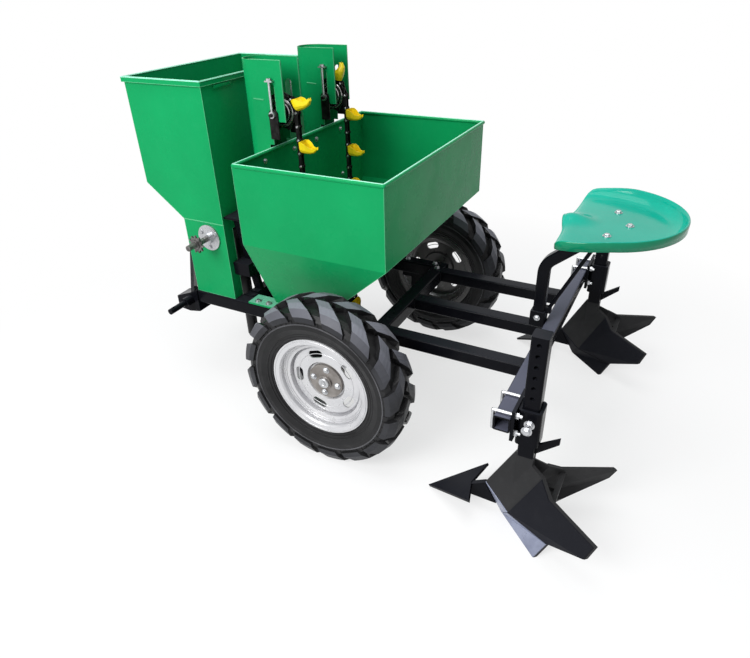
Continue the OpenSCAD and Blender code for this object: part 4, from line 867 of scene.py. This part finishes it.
# A set bolt with a lock nut goes through the outer side of each sleeve and holds the shank at its height.
# Both are zinc plated, and the bolt stands well out of the sleeve.
set_x, set_z, sleeve_side, set_long = -0.640, 0.3795, 0.5093, 0.027
set_end, rod_r, rod_heart = sleeve_side + set_long, 0.0052, 0.0004
set_nuts = []
set_rods = []
for s in (1, -1):
    set_nuts += [((set_x, s * y, set_z), (0.0, s, 0.0)) for y in (sleeve_side, set_end)]
    set_rods.append([(rod_heart, s * sleeve_side), (rod_r, s * sleeve_side), (rod_r, s * set_end),
                     (rod_heart, s * set_end)])
bolts("set_bolts", set_nuts, 0.0105, "planter")
turned("set_rods", (set_x, set_z), set_rods, 16, zinc_plate, "planter")

# Seat: a pan pressed from sheet and sprayed gloss sea-green, on an arm bent from black square tube. Its
# wall rises at the back and sides and runs out at the front, where a ridge is pressed in the middle.
# Three bolts through the floor of the pan hold it to a bracket on the arm.
seat_enamel = enamel("seat_paint", (0.003, 0.345, 0.248), 0.14, (0.03, 0.40, 0.30), 0.07, 0.22)
# Painted shade: the pan's rolled outer edge takes a deeper green, as it looks in its own shade.
seat_shade_enamel = enamel("seat_painted_shade", (0.002, 0.215, 0.105), 0.2, (0.02, 0.26, 0.15), 0.1, 0.2)
finish_nodes(black_enamel, "seat_brace")
pan_x, pan_r, pan_floor, pan_front = -0.655, 0.234, 0.755, -0.583
pan_heart = -0.70
wall_high, wall_front, front_drop, wall_from = 0.040, 0.025, -0.008, 0.80
fall_from, fall_long, front_skirt = -0.74, 0.15, 0.6
bow_deep, bow_wide, corner_power = 0.018, 0.055, 13
ridge_high, ridge_wide, ridge_from, ridge_long = 0.016, 0.034, -0.672, 0.085
edge_bead = ((0.0022, -0.0012), (0.0046, 0.0004), (0.0058, 0.0036), (0.0050, 0.0265))
pan_steps, pan_rings, pan_sheet = 120, 18, 0.0025


def ease(value):
    """Runs from 0 to 1 with a soft start and end."""
    value = min(max(value, 0.0), 1.0)
    return value * value * (3 - 2 * value)


def pan_edge(a):
    """Reach of the pan from its heart at an angle, and how far the front line sets it, from 0 to 1."""
    shift = pan_heart - pan_x
    round_edge = -shift * math.cos(a) + math.sqrt(pan_r ** 2 - (shift * math.sin(a)) ** 2)
    if math.cos(a) < 0.05:
        return round_edge, 0.0
    straight = (pan_front - pan_heart) / math.cos(a)
    for _ in range(4):
        y = min(straight, round_edge) * math.sin(a)
        straight = (pan_front + bow_deep * math.exp(-(y / bow_wide) ** 2) - pan_heart) / math.cos(a)
    reach = (round_edge ** -corner_power + straight ** -corner_power) ** (-1 / corner_power)
    return reach, round_edge ** corner_power / (round_edge ** corner_power + straight ** corner_power)


def pan_point(a, t, beyond=0.0, drop=0.0):
    """A point of the pan's upper side at an angle and a share of the reach."""
    reach, front = pan_edge(a)
    x = pan_heart + (reach * t + beyond) * math.cos(a)
    y = (reach * t + beyond) * math.sin(a)
    edge_x = pan_heart + reach * math.cos(a)
    side = wall_high + (wall_front - wall_high) * ease((edge_x - fall_from) / fall_long)
    high = side * (1 - front) + front_drop * front
    w = min(max((t - wall_from) / (1 - wall_from), 0.0), 0.995)
    wall = high * (1 - math.sqrt(1 - w * w))
    ridge = ridge_high * math.exp(-(y / ridge_wide) ** 2) * ease((x - ridge_from) / ridge_long)
    return Vector((x, y, pan_floor + wall + ridge - drop * (1 - front_skirt * front)))


form = bmesh.new()
heart = form.verts.new((pan_heart, 0.0, pan_floor))
loops = []
for j in range(1, pan_rings + 1):
    t = 1 - (1 - j / pan_rings) ** 1.5
    loops.append([form.verts.new(pan_point(2 * math.pi * i / pan_steps, t)) for i in range(pan_steps)])
for beyond, drop in edge_bead:
    loops.append([form.verts.new(pan_point(2 * math.pi * i / pan_steps, 1.0, beyond, drop))
                  for i in range(pan_steps)])
for i in range(pan_steps):
    n = (i + 1) % pan_steps
    form.faces.new((heart, loops[0][i], loops[0][n]))
    for j, (near, far) in enumerate(zip(loops, loops[1:])):
        face = form.faces.new((near[i], far[i], far[n], near[n]))
        # The rolled edge's faces take the painted shade.
        face.material_index = 1 if j > pan_rings else 0
mesh = bpy.data.meshes.new("pressed_pan")
form.to_mesh(mesh)
form.free()
mesh.materials.append(seat_enamel)
mesh.materials.append(seat_shade_enamel)
pan = placed("pressed_pan", mesh)
thick = pan.modifiers.new("sheet", "SOLIDIFY")
thick.thickness = pan_sheet
thick.offset = -1.0
pan.data = bpy.data.meshes.new_from_object(pan.evaluated_get(bpy.context.evaluated_depsgraph_get()))
pan.modifiers.remove(thick)
for face in pan.data.polygons:
    face.use_smooth = True
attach(pan, "planter")
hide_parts("seat_pan")

# Seat arm: a square tube that stands in a socket on the middle rear bar, bends back and slopes up to a
# bracket plate under the pan. All of it is black enamel, and one bolt clamps the tube in its socket.
arm_x, arm_half_wide, arm_half_thick, arm_edge = -0.526, 0.018, 0.018, 0.005
bend_from, bend_r, bend_by, arm_end = 0.572, 0.060, math.radians(50), 0.737
arm_path = [(arm_x, bars_high[2] + 0.001, 0.0), (arm_x, bend_from, 0.0)]
for k in range(1, 9):
    lean = bend_by * k / 8
    arm_path.append((arm_x - bend_r + bend_r * math.cos(lean), bend_from + bend_r * math.sin(lean), lean))
slope_long = (arm_end - arm_path[-1][1]) / math.cos(bend_by)
arm_path.append((arm_path[-1][0] - slope_long * math.sin(bend_by), arm_end, bend_by))
in_thick, in_wide = arm_half_thick - arm_edge, arm_half_wide - arm_edge
arm_section = [(arm_half_thick, in_wide), (in_thick, arm_half_wide), (-in_thick, arm_half_wide),
               (-arm_half_thick, in_wide), (-arm_half_thick, -in_wide), (-in_thick, -arm_half_wide),
               (in_thick, -arm_half_wide), (arm_half_thick, -in_wide)]
form = bmesh.new()
rings = [[form.verts.new((x + off * math.cos(lean), y, z + off * math.sin(lean))) for off, y in arm_section]
         for x, z, lean in arm_path]
for here, ahead in zip(rings, rings[1:]):
    ring_faces(form, here, ahead)
form.faces.new(rings[0])
form.faces.new(rings[-1])
bar_top, socket_half, socket_high = bars_high[2], 0.024, 0.052
slab_between(form, (arm_x - socket_half, -socket_half, bar_top + 0.0003),
             (arm_x + socket_half, socket_half, bar_top + socket_high), 0.002)
bracket_low, bracket_high = (-0.768, -0.116, 0.7435), (-0.655, 0.116, 0.7522)
slab_between(form, bracket_low, bracket_high, 0.0015)
arm = add_piece("bent_seat_arm", form, black_enamel, "planter", False)
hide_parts("seat_arm")
bolts("arm_bolt", [((arm_x, socket_half, bar_top + 0.030), (0.0, 1.0, 0.0))], 0.0075, "planter")
pan_bolts = ((-0.70, 0.098), (-0.70, -0.098), (-0.746, 0.0))
bolts("seat_bolts", [((x, y, pan_floor), up) for x, y in pan_bolts], 0.0085, "planter")

# Stage: a plain pale floor that keeps the shadow and fades to white, soft studio light from above and
# from the machine's left, and a camera at the height of a standing person behind its left side.


def seen_plainly(tree):
    """1 for rays from the camera, mirrored rays and rays through glass, 0 for scattered light."""
    path = tree.nodes.new("ShaderNodeLightPath")
    seen = path.outputs["Is Camera Ray"]
    for ray in ("Is Glossy Ray", "Is Transmission Ray"):
        larger = tree.nodes.new("ShaderNodeMath")
        larger.operation = "MAXIMUM"
        tree.links.new(seen, larger.inputs[0])
        tree.links.new(path.outputs[ray], larger.inputs[1])
        seen = larger.outputs[0]
    return seen


def mix_surfaces(tree, share, first, second, output):
    """Mixes two shaders by a share and leads them to an output node."""
    mix = tree.nodes.new("ShaderNodeMixShader")
    tree.links.new(share, mix.inputs["Fac"])
    tree.links.new(first.outputs[0], mix.inputs[1])
    tree.links.new(second.outputs[0], mix.inputs[2])
    tree.links.new(mix.outputs[0], tree.nodes[output].inputs["Surface"])


floor_mesh = bpy.data.meshes.new("floor")
floor_reach = 14.0
floor_corners = [(floor_reach * x, floor_reach * y, 0) for x, y in ((-1, -1), (1, -1), (1, 1), (-1, 1))]
floor_mesh.from_pydata(floor_corners, [], [(0, 1, 2, 3)])
floor = placed("floor", floor_mesh)
floor_finish, tree, shader, where = new_finish("floor_card")
shader.inputs["Base Color"].default_value = (0.88, 0.88, 0.88, 1.0)
shader.inputs["Roughness"].default_value = 0.9
white = tree.nodes.new("ShaderNodeEmission")
white.inputs["Strength"].default_value = 1.0
away = tree.nodes.new("ShaderNodeVectorMath")
away.operation = "LENGTH"
tree.links.new(where, away.inputs[0])
fade = between(tree, away.outputs["Value"], 0.66, 1.0, 0.8, 2.0)
share = tree.nodes.new("ShaderNodeMath")
share.operation = "MULTIPLY"
tree.links.new(fade, share.inputs[0])
tree.links.new(seen_plainly(tree), share.inputs[1])
mix_surfaces(tree, share.outputs[0], shader, white, "Material Output")
floor_mesh.materials.append(floor_finish)

world = bpy.data.worlds.new("studio")
bpy.context.scene.world = world
world.use_nodes = True
tree = world.node_tree
soft = tree.nodes["Background"]
soft.inputs["Color"].default_value = (0.93, 0.96, 1.0, 1.0)
soft.inputs["Strength"].default_value = 0.38
plain = tree.nodes.new("ShaderNodeBackground")
plain.inputs["Color"].default_value = (1.0, 1.0, 1.0, 1.0)
plain.inputs["Strength"].default_value = 1.0
mix_surfaces(tree, seen_plainly(tree), soft, plain, "World Output")


def lamp(name, size, power, place, target):
    """A square soft box that looks at a point."""
    light = bpy.data.lights.new(name, "AREA")
    light.size = size
    light.energy = power
    box = placed(name, light)
    box.location = place
    box.rotation_euler = (Vector(target) - Vector(place)).to_track_quat("-Z", "Y").to_euler()


lamp("key", 2.0, 150.0, (0.9, 3.3, 2.6), (0.0, 0.0, 0.5))
lamp("top", 2.6, 70.0, (0.1, 0.2, 3.6), (0.0, 0.0, 0.4))

lens_px, image_width, film_wide = 602.66, 750, 36.0
eye = Vector((-0.87334, 1.74543, 1.40828))
yaw, pitch, roll = -1.06887, 0.54410, -0.03346
look = Vector((math.cos(yaw) * math.cos(pitch), math.sin(yaw) * math.cos(pitch), -math.sin(pitch)))
level = Vector((math.sin(yaw), -math.cos(yaw), 0.0))
upright = level.cross(look)
right = math.cos(roll) * level + math.sin(roll) * upright
above = math.cos(roll) * upright - math.sin(roll) * level
camera_data = bpy.data.cameras.new("camera")
camera_data.sensor_fit = "HORIZONTAL"
camera_data.sensor_width = film_wide
camera_data.lens = lens_px / image_width * film_wide
camera = placed("camera", camera_data)
axes = Matrix((right, above, -look)).transposed().to_4x4()
camera.matrix_world = Matrix.Translation(eye) @ axes
bpy.context.scene.camera = camera
bpy.context.scene.view_settings.view_transform = "Standard"
